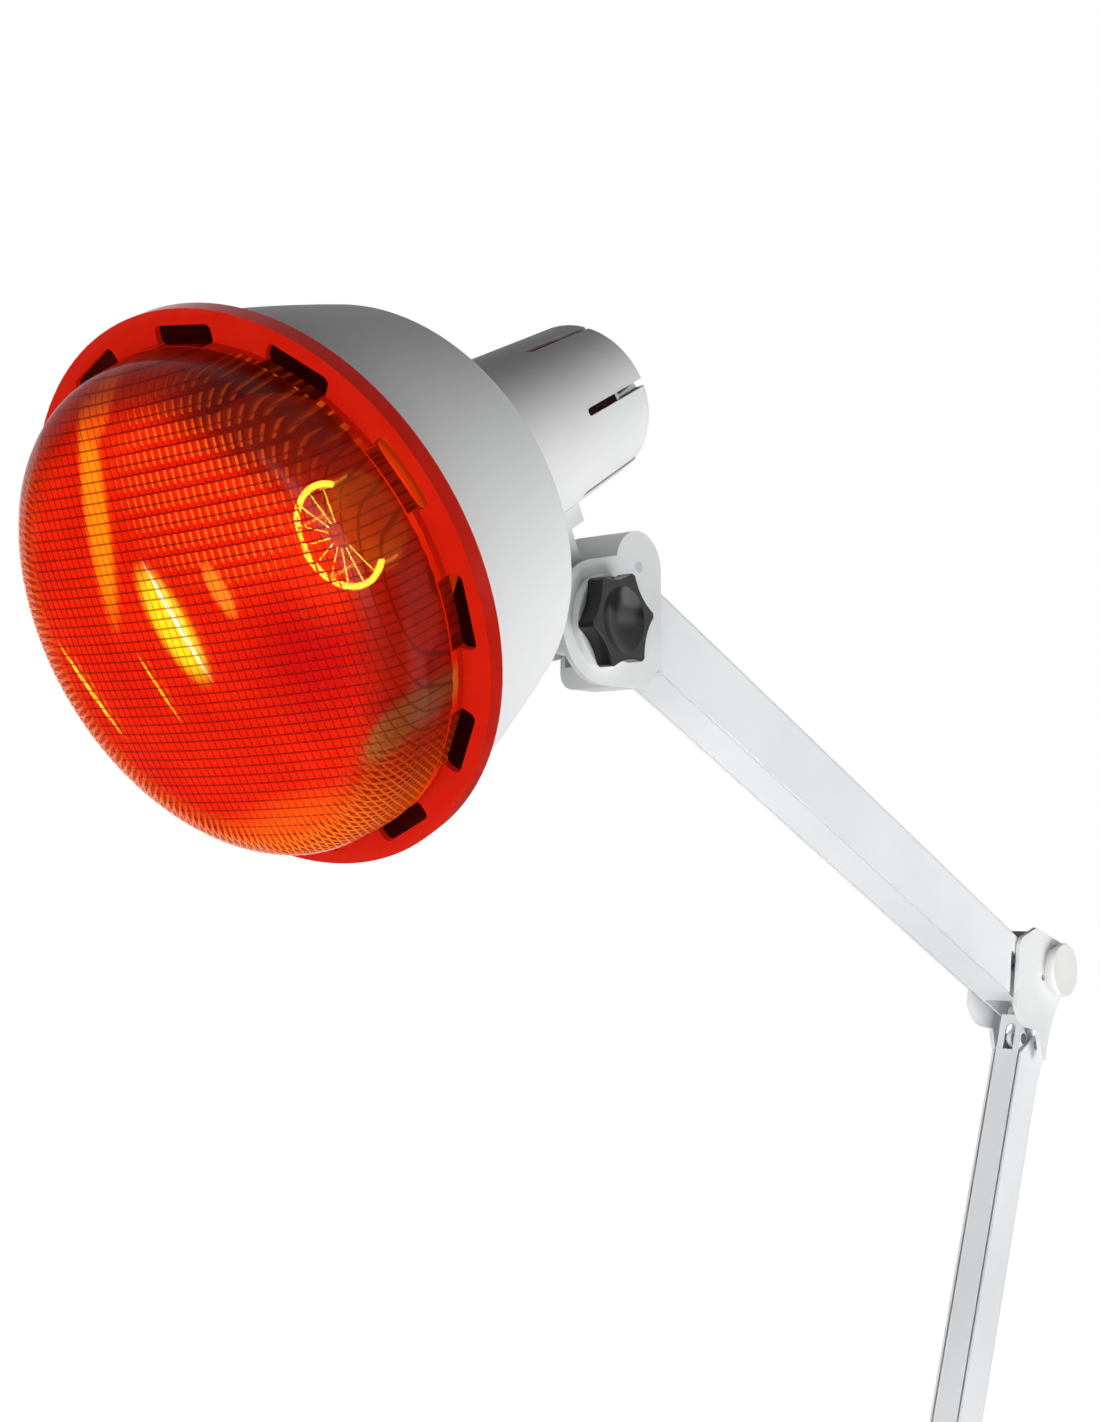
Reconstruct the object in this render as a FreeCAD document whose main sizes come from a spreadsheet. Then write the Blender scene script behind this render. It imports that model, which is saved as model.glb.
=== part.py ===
import FreeCAD, Part
import math
import os
import re
import Sketcher

# Infrared heat lamp on a balanced double arm: a hooded lamp head with a slotted
# red filter, a clamped tilt knuckle, two arms of nested channels (each pair a
# parallel linkage with a spring inside), an elbow bracket and a spigot base.
#
# +X points forwards, where the lamp shines, +Y to the side with the star knob,
# +Z up. The origin is the shoulder of the spigot pin. Lengths in millimetres,
# angles in degrees.

SIZES = [
    # pose at rest
    ("lower_lean", 21.7),  # lower arm, backwards from upright
    ("upper_rise", 25.5),  # upper arm, upwards from level
    ("head_tilt", 27.8),  # lamp axis, downwards from level
    # fits
    ("shaft_play", 0.08),  # radial, pin in a turning hole
    ("open_play", 0.45),  # radial, at the far pivot of each parallel link
    ("side_play", 0.4),  # between parts that slide past each other
    ("seat_play", 0.1),  # round a fixed part in its seat
    ("press_play", 0.02),  # radial, round a pressed pin
    ("pin_reach", 0.3),  # of a pin past the link that turns on it
    # red filter
    ("flange_radius", 108.8),
    ("filter_wall", 2.4),
    ("lip_depth", 7.0),
    ("lip_wall", 2.9),
    ("flange_width", 11.7),  # from the foot of the wall to the flange's edge
    ("wall_draft", 1.7),
    ("wall_rise", 16.0),
    ("shoulder_radius", 15.4),
    ("front_radius", 483.0),
    ("slot_count", 12),
    ("slot_length", 27.5),
    ("slot_width", 7.6),
    ("slot_corner", 2.6),
    ("slot_outset", 1.9),  # of the slots' middle, from the foot of the wall
    ("slot_turn", 8.3),
    # hood
    ("hood_wall", 1.4),
    ("hood_depth", 86.0),
    ("hood_rear_radius", 88.0),
    ("hood_corner", 8.0),
    ("hood_swell", 4.0),  # degrees, the side over a straight cone at the rear
    ("hood_bore", 39.0),
    # rear housing
    ("housing_rise", 4.5),  # housing axis above the hood axis
    ("housing_wall", 1.6),
    ("housing_front_radius", 42.0),
    ("housing_rear_radius", 34.8),
    ("housing_end", 226.0),
    ("housing_corner", 6.0),
    ("housing_flange", 54.0),
    ("housing_flange_wall", 2.5),
    ("vent_count", 6),
    ("vent_width", 3.4),
    ("vent_length", 47.0),
    ("vent_turn", 24.0),
    ("cable_bore", 6.0),
    # bulb and holder
    ("bulb_radius", 62.5),
    ("bulb_face", 4.0),  # apex of the face behind the flange plane
    ("bulb_face_radius", 110.0),
    ("bulb_rim_turn", 27.0),  # degrees, from the apex of the face to its rim
    ("bulb_shoulder", 24.0),
    ("bulb_wide_at", 36.0),
    ("bulb_back_radius", 400.0),
    ("bulb_neck_radius", 18.5),
    ("bulb_neck_at", 122.0),
    ("bulb_neck_bend", 24.0),
    ("bulb_neck_run", 14.0),
    ("bulb_neck_rise", 4.0),
    ("bulb_wall", 1.4),
    ("cap_start", 146.0),
    ("cap_radius", 13.3),
    ("cap_length", 25.0),
    ("contact_length", 6.0),
    ("contact_radius", 5.5),
    ("cap_shoulder", 3.0),
    ("filament_at", 54.0),
    ("filament_radius", 21.0),
    ("filament_wire", 1.3),
    ("filament_sweep", 250.0),
    ("stem_gap", 14.0),
    ("stem_radius", 4.0),
    ("stem_disc", 2.0),
    ("stem_seal", 28.0),
    ("support_radius", 0.6),
    ("holder_radius", 20.5),
    ("holder_back_radius", 16.5),
    ("sleeve_wall", 0.8),
    ("sleeve_length", 23.0),
    ("holder_length", 52.0),
    ("holder_step", 34.0),
    ("plate_wall", 2.0),
    ("plate_boss", 5.0),
    ("plate_screw_reach", 22.0),
    # screws
    ("screw_radius", 2.0),
    ("screw_head_radius", 3.8),
    ("screw_head_height", 2.6),
    ("screw_play", 0.3),
    # head bracket and tilt joint
    ("pivot_back", 170.8),  # tilt axis behind the flange plane
    ("pivot_drop", 80.3),  # tilt axis below the lamp axis
    ("tongue_radius", 13.0),
    ("tongue_half", 7.0),
    ("neck_half", 9.5),
    ("saddle_half", 15.0),
    ("saddle_front", 60.0),  # ahead of the tilt axis
    ("saddle_screw_inset", 10.0),
    ("saddle_screw_pitch", 26.0),
    ("saddle_wall", 5.0),
    ("bolt_radius", 4.0),
    ("bolt_head_radius", 7.4),
    ("bolt_head_height", 5.0),
    ("washer_radius", 11.5),
    ("washer_wall", 1.5),
    ("boss_radius", 9.0),
    # knuckle
    ("cheek_inner", 13.0),
    ("cheek_wall", 2.5),
    ("ear_back", 26.0),  # arm pivot behind the tilt axis
    ("ear_lift", 26.5),  # arm pivot above the tilt axis
    ("ear_radius", 16.0),
    ("ear_web", 3.0),
    ("nose_radius", 27.2),
    ("far_radius", 15.0),  # of the far cheek round the bolt
    ("chin_front", 9.0),  # both behind the tilt axis
    ("chin_rear", 24.0),
    ("chin_wall", 10.0),
    ("chin_round", 8.0),
    ("cheek_rear", 42.0),
    ("cheek_corner", 12.0),
    ("knob_boss_radius", 20.4),
    ("knob_boss_height", 3.5),
    ("lug_radius", 5.5),
    ("knuckle_lug_half", 8.8),
    # star knob
    ("knob_radius", 21.4),
    ("knob_height", 8.0),
    ("knob_turned", 19.5),
    ("scallop_radius", 26.0),
    ("scallop_depth", 4.2),
    ("dish_radius", 14.2),
    ("dish_depth", 4.6),
    ("insert_radius", 6.5),
    ("insert_length", 3.2),
    # arms
    ("upper_length", 429.0),
    ("upper_half", 12.5),
    ("upper_depth", 32.4),
    ("upper_top", 1.4),  # top of the channel above its pivots
    ("channel_wall", 1.4),
    ("channel_bend", 2.2),
    ("lower_bend", 1.5),
    ("upper_link_half", 10.6),
    ("upper_link_depth", 13.0),
    ("link_wall", 1.2),
    ("link_back", 5.0),  # link pivots behind the channel pivots, along the arm
    ("link_drop", 26.0),  # link pivots below the channel pivots
    ("arm_ear", 8.0),
    ("link_ear", 5.2),
    ("web_start", 18.0),
    ("link_web_start", 32.0),
    ("link_lead", 12.0),  # from a link's pivot to its full depth
    ("pin_radius", 2.5),
    ("lower_length", 400.0),
    ("lower_half", 9.0),
    ("lower_behind", 9.5),
    ("lower_ahead", 15.2),
    ("lower_wall", 1.2),
    ("lower_ear", 7.0),
    ("lower_link_half", 6.8),
    ("lower_link_depth", 9.5),
    ("lower_link_ahead", 11.6),
    ("lower_web_start", 17.0),
    ("lower_link_ear", 4.5),
    ("lower_link_crest", 12.5),  # its front web, past the upper pivot
    ("link_slot_half", 3.0),
    ("link_slot_reach", 7.5),
    ("link_tongue_half", 1.2),
    ("link_lug_radius", 4.2),
    ("post_radius", 1.8),
    ("spring_radius", 5.0),
    ("spring_wire", 1.4),
    ("spring_leg", 28.0),
    ("spring_plug", 2.0),
    ("hook_play", 0.25),
    # elbow
    ("elbow_set", 13.0),  # lower arm pivot ahead of the upper arm pivot
    ("elbow_drop", 42.0),  # and below it
    ("elbow_rear_radius", 16.5),
    ("elbow_web", 2.5),
    ("elbow_web_end", 18.5),  # below the upper pivot, at the rear
    ("elbow_front", 47.0),
    ("elbow_crest", 24.0),
    ("elbow_crest_at", 22.0),
    ("roof_end", 15.0),  # the web over the top stops short of the crest
    ("elbow_foot", 50.0),
    ("elbow_lobe_radius", 20.0),
    ("elbow_waist_radius", 60.0),
    ("spine_half", 5.0),
    ("upper_lug_half", 8.8),
    ("elbow_hole_radius", 1.9),
    ("elbow_hole_ahead", 15.4),
    ("elbow_hole_drop", 3.9),
    ("cap_disc_radius", 15.0),
    ("cap_disc_height", 2.4),
    ("cap_neck_radius", 13.4),
    ("cap_neck_height", 3.8),
    # base
    ("base_pivot_height", 52.0),
    ("base_pivot_back", 6.0),
    ("block_length", 44.0),
    ("block_half", 14.0),
    ("block_height", 24.0),
    ("shoulder_disc_radius", 12.5),
    ("shoulder_disc_height", 6.0),
    ("spigot_radius", 6.0),
    ("spigot_length", 60.0),
    ("spigot_socket", 18.0),
    ("spigot_chamfer", 1.0),
    ("tang_radius", 5.0),  # the pin's end inside the block
]

# Places and sizes that follow from the driving ones.
DERIVED = [
    ("elbow_x", "-base_pivot_back - lower_length*sin(lower_lean) - elbow_set"),
    ("elbow_z", "base_pivot_height + lower_length*cos(lower_lean) + elbow_drop"),
    ("tilt_x", "elbow_x + upper_length*cos(upper_rise) + ear_back"),
    ("tilt_z", "elbow_z + upper_length*sin(upper_rise) - ear_lift"),
    ("head_x", "tilt_x + pivot_back*cos(head_tilt) + pivot_drop*sin(head_tilt)"),
    ("head_z", "tilt_z - pivot_back*sin(head_tilt) + pivot_drop*cos(head_tilt)"),
    ("housing_x", "head_x + housing_rise*sin(head_tilt)"),
    ("housing_z", "head_z + housing_rise*cos(head_tilt)"),
    # offsets of the link pivots from the channel pivots, seen level
    ("link_x", "-link_back*cos(upper_rise) + link_drop*sin(upper_rise)"),
    ("link_z", "-link_back*sin(upper_rise) - link_drop*cos(upper_rise)"),
    ("low_link_x", "lower_link_ahead*cos(lower_lean)"),
    ("low_link_z", "lower_link_ahead*sin(lower_lean)"),
    # red filter
    ("foot_radius", "flange_radius - flange_width"),
    ("slot_place_radius", "foot_radius + slot_outset"),
    ("wall_top_radius", "foot_radius - wall_draft"),
    ("shoulder_centre", "wall_top_radius - shoulder_radius"),
    ("shoulder_turn", "asin(shoulder_centre/(front_radius - shoulder_radius))"),
    ("front_centre", "wall_rise - (front_radius - shoulder_radius)*cos(shoulder_turn)"),
    # hood
    ("hood_front_radius", "flange_radius - lip_wall - seat_play"),
    ("hood_cone", "atan2(hood_front_radius - hood_rear_radius; hood_depth - filter_wall)"),
    ("hood_slope", "hood_cone + hood_swell"),
    ("hood_turn_x", "-hood_depth + hood_corner - hood_corner*sin(hood_slope)"),
    ("hood_turn_z", "hood_rear_radius - hood_corner + hood_corner*cos(hood_slope)"),
    ("hood_chord", "hypot(-filter_wall - hood_turn_x; hood_front_radius - hood_turn_z)"),
    ("hood_chord_slope", "atan2(hood_front_radius - hood_turn_z; -filter_wall - hood_turn_x)"),
    ("hood_bulge", "hood_chord/(2*sin(hood_slope - hood_chord_slope))"),
    # housing
    ("housing_start", "hood_depth + housing_flange_wall"),
    ("housing_run", "housing_end - housing_corner - housing_start"),
    ("housing_taper", "(housing_front_radius - housing_rear_radius)/housing_run"),
    # bulb cap and holder
    ("cap_end", "cap_start + cap_length"),
    ("contact_end", "cap_end + contact_length"),
    ("holder_start", "cap_start + cap_shoulder + 1"),
    ("holder_bore", "cap_radius + 3*seat_play + sleeve_wall + seat_play"),
    ("holder_floor", "contact_end + 2.4"),
    ("holder_end", "holder_start + holder_length"),
    ("plate_end", "holder_end + plate_wall"),
    ("plate_radius", "housing_front_radius - housing_wall - seat_play"
     " - (plate_end - housing_start)*housing_taper"),
    # head bracket
    ("saddle_seat", "housing_rise - housing_front_radius"
     " + housing_taper*(pivot_back - housing_start)"),
    # elbow
    ("roof_slope", "(elbow_crest - elbow_rear_radius*sin(112))"
     "/(elbow_crest_at - elbow_rear_radius*cos(112))"),
    # springs
    ("spring_eye", "post_radius + spring_wire/2 + hook_play"),
    # knuckle, tilt bolt and knob
    ("cheek_outer", "cheek_inner + cheek_wall"),
    ("boss_end", "tongue_half + washer_wall"),
    ("knob_base", "cheek_outer + knob_boss_height + side_play"),
    ("knob_face", "knob_base + knob_height"),
    ("scallop_centre", "knob_radius - scallop_depth + scallop_radius"),
    ("dish_sphere", "(dish_radius^2 + dish_depth^2)/(2*dish_depth)"),
]

doc = FreeCAD.newDocument("heat_lamp")
sheet = doc.addObject("Spreadsheet::Sheet", "Sizes")
frames = doc.addObject("App::VarSet", "Frames")
probe = doc.addObject("App::VarSet", "Probe")
probe.addProperty("App::PropertyFloat", "value")
NODES = {}


def formula(text):
    """The text with every size written as a reference to where it is kept."""
    def refer(found):
        word = found.group()
        if word in driving:
            return "Sizes." + word
        if word in derived:
            return "Frames." + word
        return word
    return re.sub(r"[a-z][a-z0-9_]*", refer, str(text))


driving = set()
derived = set()
for row, (name, value) in enumerate(SIZES, start=1):
    sheet.set("A%d" % row, name)
    sheet.set("B%d" % row, str(value))
    sheet.setAlias("B%d" % row, name)
    driving.add(name)
doc.recompute()
for name, text in DERIVED:
    frames.addProperty("App::PropertyFloat", name)
    frames.setExpression(name, formula(text))
    frames.recompute()
    derived.add(name)


def number(text):
    """The value of a formula, used to draw a sketch near its solved shape."""
    probe.setExpression("value", formula(text))
    probe.recompute()
    return probe.value


def bind(thing, **sizes):
    """Bind the properties of an object to formulas."""
    for prop, text in sizes.items():
        thing.setExpression(prop, formula(text))


# ---------------------------------------------------------------- frames

# Each moving part is drawn in a frame of its own: where its origin lies and how
# far it is turned about +Y.
PLACES = {
    "base": ("0", "0", "0"),
    "lower": ("-base_pivot_back", "base_pivot_height", "-lower_lean"),
    "elbow": ("elbow_x", "elbow_z", "0"),
    "upper": ("elbow_x", "elbow_z", "-upper_rise"),
    "knuckle": ("tilt_x", "tilt_z", "0"),
    "head": ("head_x", "head_z", "head_tilt"),
    "housing": ("housing_x", "housing_z", "head_tilt"),
}


def keep(thing, name, frame):
    """Label a finished sub-part, put it in its frame and list it as a node."""
    along_x, along_z, turn = PLACES[frame]
    thing.Label = name
    thing.Placement = FreeCAD.Placement(
        FreeCAD.Vector(0, 0, 0), FreeCAD.Rotation(FreeCAD.Vector(0, 1, 0), 1))
    thing.setExpression("Placement.Base.x", formula(along_x))
    thing.setExpression("Placement.Base.z", formula(along_z))
    thing.setExpression("Placement.Rotation.Angle", formula(turn))
    NODES[name] = thing
    return thing


# ---------------------------------------------------------------- sketches

def origin_item(body, role):
    return [item for item in body.Origin.OriginFeatures if item.Role == role][0]


def new_body(name):
    return doc.addObject("PartDesign::Body", name.title().replace("_", ""))


def new_sketch(body, plane="XZ_Plane", lift=None, turn=None):
    """A sketch on a plane of its own body; lift moves it along its normal."""
    sketch = body.newObject("Sketcher::SketchObject", body.Name + "Sketch")
    sketch.AttachmentSupport = [(origin_item(body, plane), "")]
    sketch.MapMode = "FlatFace"
    if lift is not None:
        sketch.setExpression("AttachmentOffset.Base.z", formula(lift))
    if turn is not None:
        axis, angle = turn
        sketch.AttachmentOffset = FreeCAD.Placement(
            FreeCAD.Vector(0, 0, 0), FreeCAD.Rotation(axis, 1))
        sketch.setExpression("AttachmentOffset.Rotation.Angle", formula(angle))
    return sketch


def hold(sketch, geometry, end, along_x, along_y):
    """Fix one end of a sketch edge to two formulas."""
    for kind, text, axis in (("DistanceX", along_x, -2), ("DistanceY", along_y, -1)):
        if str(text) == "0":
            sketch.addConstraint(Sketcher.Constraint("PointOnObject", geometry, end, axis))
            continue
        index = sketch.addConstraint(
            Sketcher.Constraint(kind, -1, 1, geometry, end, number(text)))
        sketch.setExpression("Constraints[%d]" % index, formula(text))


def outline(sketch, path):
    """Draw a closed outline.

    Each entry is (x, y) or (x, y, radius, side): the formulas of a corner and,
    where the edge that leaves it is an arc, its radius and +1 to turn left or
    -1 to turn right on the way to the next corner.
    """
    first = sketch.GeometryCount
    corners = [(number(entry[0]), number(entry[1])) for entry in path]
    ends = []
    for index, entry in enumerate(path):
        start = FreeCAD.Vector(*corners[index], 0)
        stop = FreeCAD.Vector(*corners[(index + 1) % len(path)], 0)
        if len(entry) == 2:
            edge = sketch.addGeometry(Part.LineSegment(start, stop))
            ends.append((edge, 1, 2))
            continue
        radius = number(entry[2])
        side = entry[3]
        half = start.distanceToPoint(stop) / 2
        across = FreeCAD.Vector(start.y - stop.y, stop.x - start.x, 0).normalize()
        centre = (start + stop) / 2 + across * side * math.sqrt(max(radius**2 - half**2, 0))
        angles = [math.atan2(point.y - centre.y, point.x - centre.x) for point in (start, stop)]
        if side < 0:
            angles.reverse()
        circle = Part.Circle(centre, FreeCAD.Vector(0, 0, 1), radius)
        edge = sketch.addGeometry(Part.ArcOfCircle(circle, *angles))
        ends.append((edge, 1, 2) if side > 0 else (edge, 2, 1))
        index = sketch.addConstraint(Sketcher.Constraint("Radius", edge, radius))
        sketch.setExpression("Constraints[%d]" % index, formula(entry[2]))
    for index, entry in enumerate(path):
        edge, head, tail = ends[index]
        after, next_head, _ = ends[(index + 1) % len(path)]
        sketch.addConstraint(Sketcher.Constraint("Coincident", edge, tail, after, next_head))
        hold(sketch, edge, head, entry[0], entry[1])
    return first


def circle(sketch, along_x, along_y, radius):
    centre = FreeCAD.Vector(number(along_x), number(along_y), 0)
    ring = sketch.addGeometry(Part.Circle(centre, FreeCAD.Vector(0, 0, 1), number(radius)))
    index = sketch.addConstraint(Sketcher.Constraint("Radius", ring, number(radius)))
    sketch.setExpression("Constraints[%d]" % index, formula(radius))
    hold(sketch, ring, 3, along_x, along_y)


def box_path(left, right, low, high):
    return [(left, low), (right, low), (right, high), (left, high)]


def on_ring(centre, radius, angle):
    return ("%s + %s*cos(%s)" % (centre[0], radius, angle),
            "%s + %s*sin(%s)" % (centre[1], radius, angle))


def half_round(centre, radius, angle):
    """Outline entries of a half circle that starts at an angle, turning left."""
    return [on_ring(centre, radius, angle) + (radius, 1),
            on_ring(centre, radius, angle + 90) + (radius, 1),
            on_ring(centre, radius, angle + 180)]


# ---------------------------------------------------------------- features

def revolve(body, path):
    """Turn an outline of (along the axis, radius) about the body's X axis."""
    sketch = new_sketch(body)
    outline(sketch, path)
    turned = body.newObject("PartDesign::Revolution", body.Name + "Revolution")
    turned.Profile = sketch
    turned.ReferenceAxis = (sketch, ["H_Axis"])
    turned.Angle = 360
    return turned


def pad(body, path, width, plane="XZ_Plane", lift=None):
    """Thicken an outline both ways from its plane to the full width given."""
    sketch = new_sketch(body, plane, lift)
    outline(sketch, path)
    raised = body.newObject("PartDesign::Pad", body.Name + "Pad")
    raised.Profile = sketch
    raised.SideType = "Symmetric"
    bind(raised, Length=width)
    return raised


def pocket(body, width, path=(), holes=(), plane="XZ_Plane", lift=None, turn=None):
    """Cut an outline or round holes both ways from their plane."""
    sketch = new_sketch(body, plane, lift, turn)
    if path:
        outline(sketch, path)
    for hole in holes:
        circle(sketch, *hole)
    before = body.Tip
    cut = body.newObject("PartDesign::Pocket", body.Name + "Pocket")
    cut.Profile = sketch
    cut.SideType = "Symmetric"
    bind(cut, Length=width)
    doc.recompute()
    if cut.Shape.Volume > before.Shape.Volume - 0.5:
        raise RuntimeError("a pocket in %s removes nothing" % body.Name)
    return cut


def around(body, feature, count, axis="X_Axis", name="Pattern"):
    """Repeat a cut evenly round an axis of the body."""
    pattern = body.newObject("PartDesign::PolarPattern", body.Name + name)
    pattern.Originals = [feature]
    pattern.Axis = (origin_item(body, axis), [""])
    pattern.Angle = 360
    bind(pattern, Occurrences=count)
    body.Tip = pattern
    return pattern


def fillet(body, radius, wanted):
    """Round the edges of the body's last feature that a test picks."""
    doc.recompute()
    base = body.Tip
    names = ["Edge%d" % index for index, edge in enumerate(base.Shape.Edges, start=1)
             if wanted(edge)]
    if not names:
        raise RuntimeError("no edge to round in %s" % body.Name)
    rounded = body.newObject("PartDesign::Fillet", body.Name + "Fillet")
    rounded.Base = (base, names)
    bind(rounded, Radius=radius)
    return rounded


def near(value, text, slack=0.02):
    return abs(value - number(text)) < slack


def flat_in(edge, axis, text):
    """Whether a whole edge lies at one value of x (0), y (1) or z (2)."""
    return all(near(vertex.Point[axis], text) for vertex in edge.Vertexes)


def rod(centre, direction, radius, length):
    """A cylinder from a point given by three formulas, along x, y, z or back."""
    cylinder = doc.addObject("Part::Cylinder", "Rod")
    bind(cylinder, Radius=radius, Height=length)
    turns = {"x": ((0, 1, 0), 90), "-x": ((0, 1, 0), -90), "y": ((1, 0, 0), -90),
             "-y": ((1, 0, 0), 90), "z": ((0, 0, 1), 0), "-z": ((1, 0, 0), 180)}
    axis, angle = turns[direction]
    cylinder.Placement = FreeCAD.Placement(
        FreeCAD.Vector(0, 0, 0), FreeCAD.Rotation(FreeCAD.Vector(*axis), angle))
    for letter, text in zip("xyz", centre):
        cylinder.setExpression("Placement.Base." + letter, formula(text))
    return cylinder


def fuse(*things):
    joined = doc.addObject("Part::MultiFuse", "Fused")
    joined.Shapes = list(things)
    return joined


def cut(base, *tools):
    for tool in tools:
        less = doc.addObject("Part::Cut", "Cut")
        less.Base = base
        less.Tool = tool
        base = less
    return base


def group(name, frame, *things):
    """Several like solids that share one node."""
    gathered = doc.addObject("Part::Compound", name.title().replace("_", ""))
    gathered.Links = list(things)
    return keep(gathered, name, frame)


def cross_pin(name, frame, along_x, along_z, radius, half):
    """A plain pin across the part, from -half to +half."""
    pin = rod((along_x, "-(%s)" % half, along_z), "y", radius, "2*(%s)" % half)
    return group(name, frame, pin)


def screw(centre, direction, reach):
    """A round-headed screw: the point given is under its head."""
    opposite = direction[1:] if direction.startswith("-") else "-" + direction
    shank = rod(centre, direction, "screw_radius", reach)
    head = rod(centre, opposite, "screw_head_radius", "screw_head_height")
    return fuse(head, shank)


# ---------------------------------------------------------------- lamp head

def red_filter():
    """Pressed red filter: lipped flange, slotted foot, shoulder and convex front.

    The twelve air slots open at the foot of the wall, partly in the flange and
    partly in the wall, as the moulding tool leaves them.
    """
    body = new_body("red_filter")
    inner = "(%s - filter_wall)"
    turn = "shoulder_turn"
    path = [
        ("-filter_wall", inner % "foot_radius"),
        ("wall_rise", inner % "wall_top_radius", inner % "shoulder_radius", -1),
        ("wall_rise + (shoulder_radius - filter_wall)*cos(%s)" % turn,
         "shoulder_centre + (shoulder_radius - filter_wall)*sin(%s)" % turn,
         inner % "front_radius", -1),
        ("front_centre + front_radius - filter_wall", "0"),
        ("front_centre + front_radius", "0", "front_radius", 1),
        ("wall_rise + shoulder_radius*cos(%s)" % turn,
         "shoulder_centre + shoulder_radius*sin(%s)" % turn, "shoulder_radius", 1),
        ("wall_rise", "wall_top_radius"),
        ("0", "foot_radius"),
        ("0", "flange_radius"),
        ("-lip_depth", "flange_radius"),
        ("-lip_depth", "flange_radius - lip_wall"),
        ("-filter_wall", "flange_radius - lip_wall"),
    ]
    revolve(body, path)
    half = "slot_length/2"
    corner = "slot_corner"
    low = "slot_place_radius - slot_width/2"
    high = "slot_place_radius + slot_width/2"
    slot = [
        ("-%s + %s" % (half, corner), low),
        ("%s - %s" % (half, corner), low, corner, 1),
        (half, "%s + %s" % (low, corner)),
        (half, "%s - %s" % (high, corner), corner, 1),
        ("%s - %s" % (half, corner), high),
        ("-%s + %s" % (half, corner), high, corner, 1),
        ("-" + half, "%s - %s" % (high, corner)),
        ("-" + half, "%s + %s" % (low, corner), corner, 1),
    ]
    opening = pocket(body, "4*filter_wall", slot, plane="YZ_Plane",
                     turn=(FreeCAD.Vector(0, 0, 1), "-slot_turn"))
    around(body, opening, "slot_count")
    return keep(body, "red_filter", "head")


def hood():
    """Tapering hood with a slightly bulged side and a rounded rear edge."""
    body = new_body("hood")
    thin = "hood_wall"
    path = [
        ("-filter_wall", "hood_front_radius - %s" % thin),
        ("-filter_wall", "hood_front_radius", "hood_bulge", 1),
        ("hood_turn_x", "hood_turn_z", "hood_corner", 1),
        ("-hood_depth", "hood_rear_radius - hood_corner"),
        ("-hood_depth", "0"),
        ("-hood_depth + %s" % thin, "0"),
        ("-hood_depth + %s" % thin, "hood_rear_radius - hood_corner",
         "hood_corner - %s" % thin, -1),
        ("hood_turn_x + %s*sin(hood_slope)" % thin, "hood_turn_z - %s*cos(hood_slope)" % thin,
         "hood_bulge - %s" % thin, -1),
    ]
    revolve(body, path)
    holes = flange_screw_places("housing_rise")
    pocket(body, "8*hood_wall", holes=[("0", "housing_rise", "hood_bore")] + [
        (y, z, "screw_radius + screw_play") for y, z in holes],
           plane="YZ_Plane", lift="-hood_depth")
    return keep(body, "hood", "head")


def flange_screw_places(rise):
    """Across and up, for the three screws that hold the housing to the hood."""
    middle = "((housing_front_radius + housing_flange)/2)"
    places = []
    for index in range(3):
        angle = 120 * index + 180
        places.append(("%s*sin(%d)" % (middle, angle), "%s + %s*cos(%d)" % (rise, middle, angle)))
    return places


def rear_housing():
    """Tapering tube with a closed rounded end, slit by six long vents."""
    body = new_body("rear_housing")
    thin = "housing_wall"
    ring = "housing_rear_radius - housing_corner"
    path = [
        ("-hood_depth", "housing_front_radius - %s" % thin),
        ("-hood_depth", "housing_flange"),
        ("-housing_start", "housing_flange"),
        ("-housing_start", "housing_front_radius"),
        ("-housing_end + housing_corner", "housing_rear_radius", "housing_corner", 1),
        ("-housing_end", ring),
        ("-housing_end", "cable_bore"),
        ("-housing_end + %s" % thin, "cable_bore"),
        ("-housing_end + %s" % thin, ring, "housing_corner - %s" % thin, -1),
        ("-housing_end + housing_corner", "housing_rear_radius - %s" % thin),
    ]
    revolve(body, path)
    end = "-housing_end - 1"
    start = "-housing_end + vent_length"
    slit = [(end, "-vent_width/2")] + half_round((start, "0"), "vent_width/2", -90)
    slit += [(end, "vent_width/2")]
    vent = vent_cut(body, slit)
    around(body, vent, "vent_count", name="Vents")
    holes = flange_screw_places("0")
    pocket(body, "4*housing_flange_wall",
           holes=[(y, z, "screw_radius + screw_play") for y, z in holes],
           plane="YZ_Plane", lift="-housing_start")
    saddle = [(x, "0", "screw_radius + screw_play") for x in saddle_screw_places()]
    down_cut(body, saddle)
    pocket(body, "4*housing_wall",
           holes=[(y, "0", "screw_radius + screw_play") for y in plate_screw_places()],
           plane="YZ_Plane", lift="-housing_end")
    return keep(body, "rear_housing", "housing")


def vent_cut(body, slit):
    """Cut one vent from the axis outwards, so that only one wall is slit."""
    sketch = new_sketch(body, "XY_Plane", turn=(FreeCAD.Vector(1, 0, 0), "-vent_turn"))
    outline(sketch, slit)
    vent = body.newObject("PartDesign::Pocket", body.Name + "Vent")
    vent.Profile = sketch
    vent.Reversed = True
    vent.Type = "Length"
    bind(vent, Length="2*housing_rear_radius")
    doc.recompute()
    return vent


def down_cut(body, holes):
    """Drill from the axis downwards through the lower wall alone."""
    sketch = new_sketch(body, "XY_Plane")
    for hole in holes:
        circle(sketch, *hole)
    drilled = body.newObject("PartDesign::Pocket", body.Name + "Drill")
    drilled.Profile = sketch
    bind(drilled, Length="2*housing_front_radius")
    doc.recompute()
    return drilled


def saddle_screw_places():
    first = "-pivot_back + saddle_front - saddle_screw_inset"
    return [first, first + " - saddle_screw_pitch"]


def plate_screw_places():
    return ["-plate_screw_reach", "plate_screw_reach"]


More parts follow.
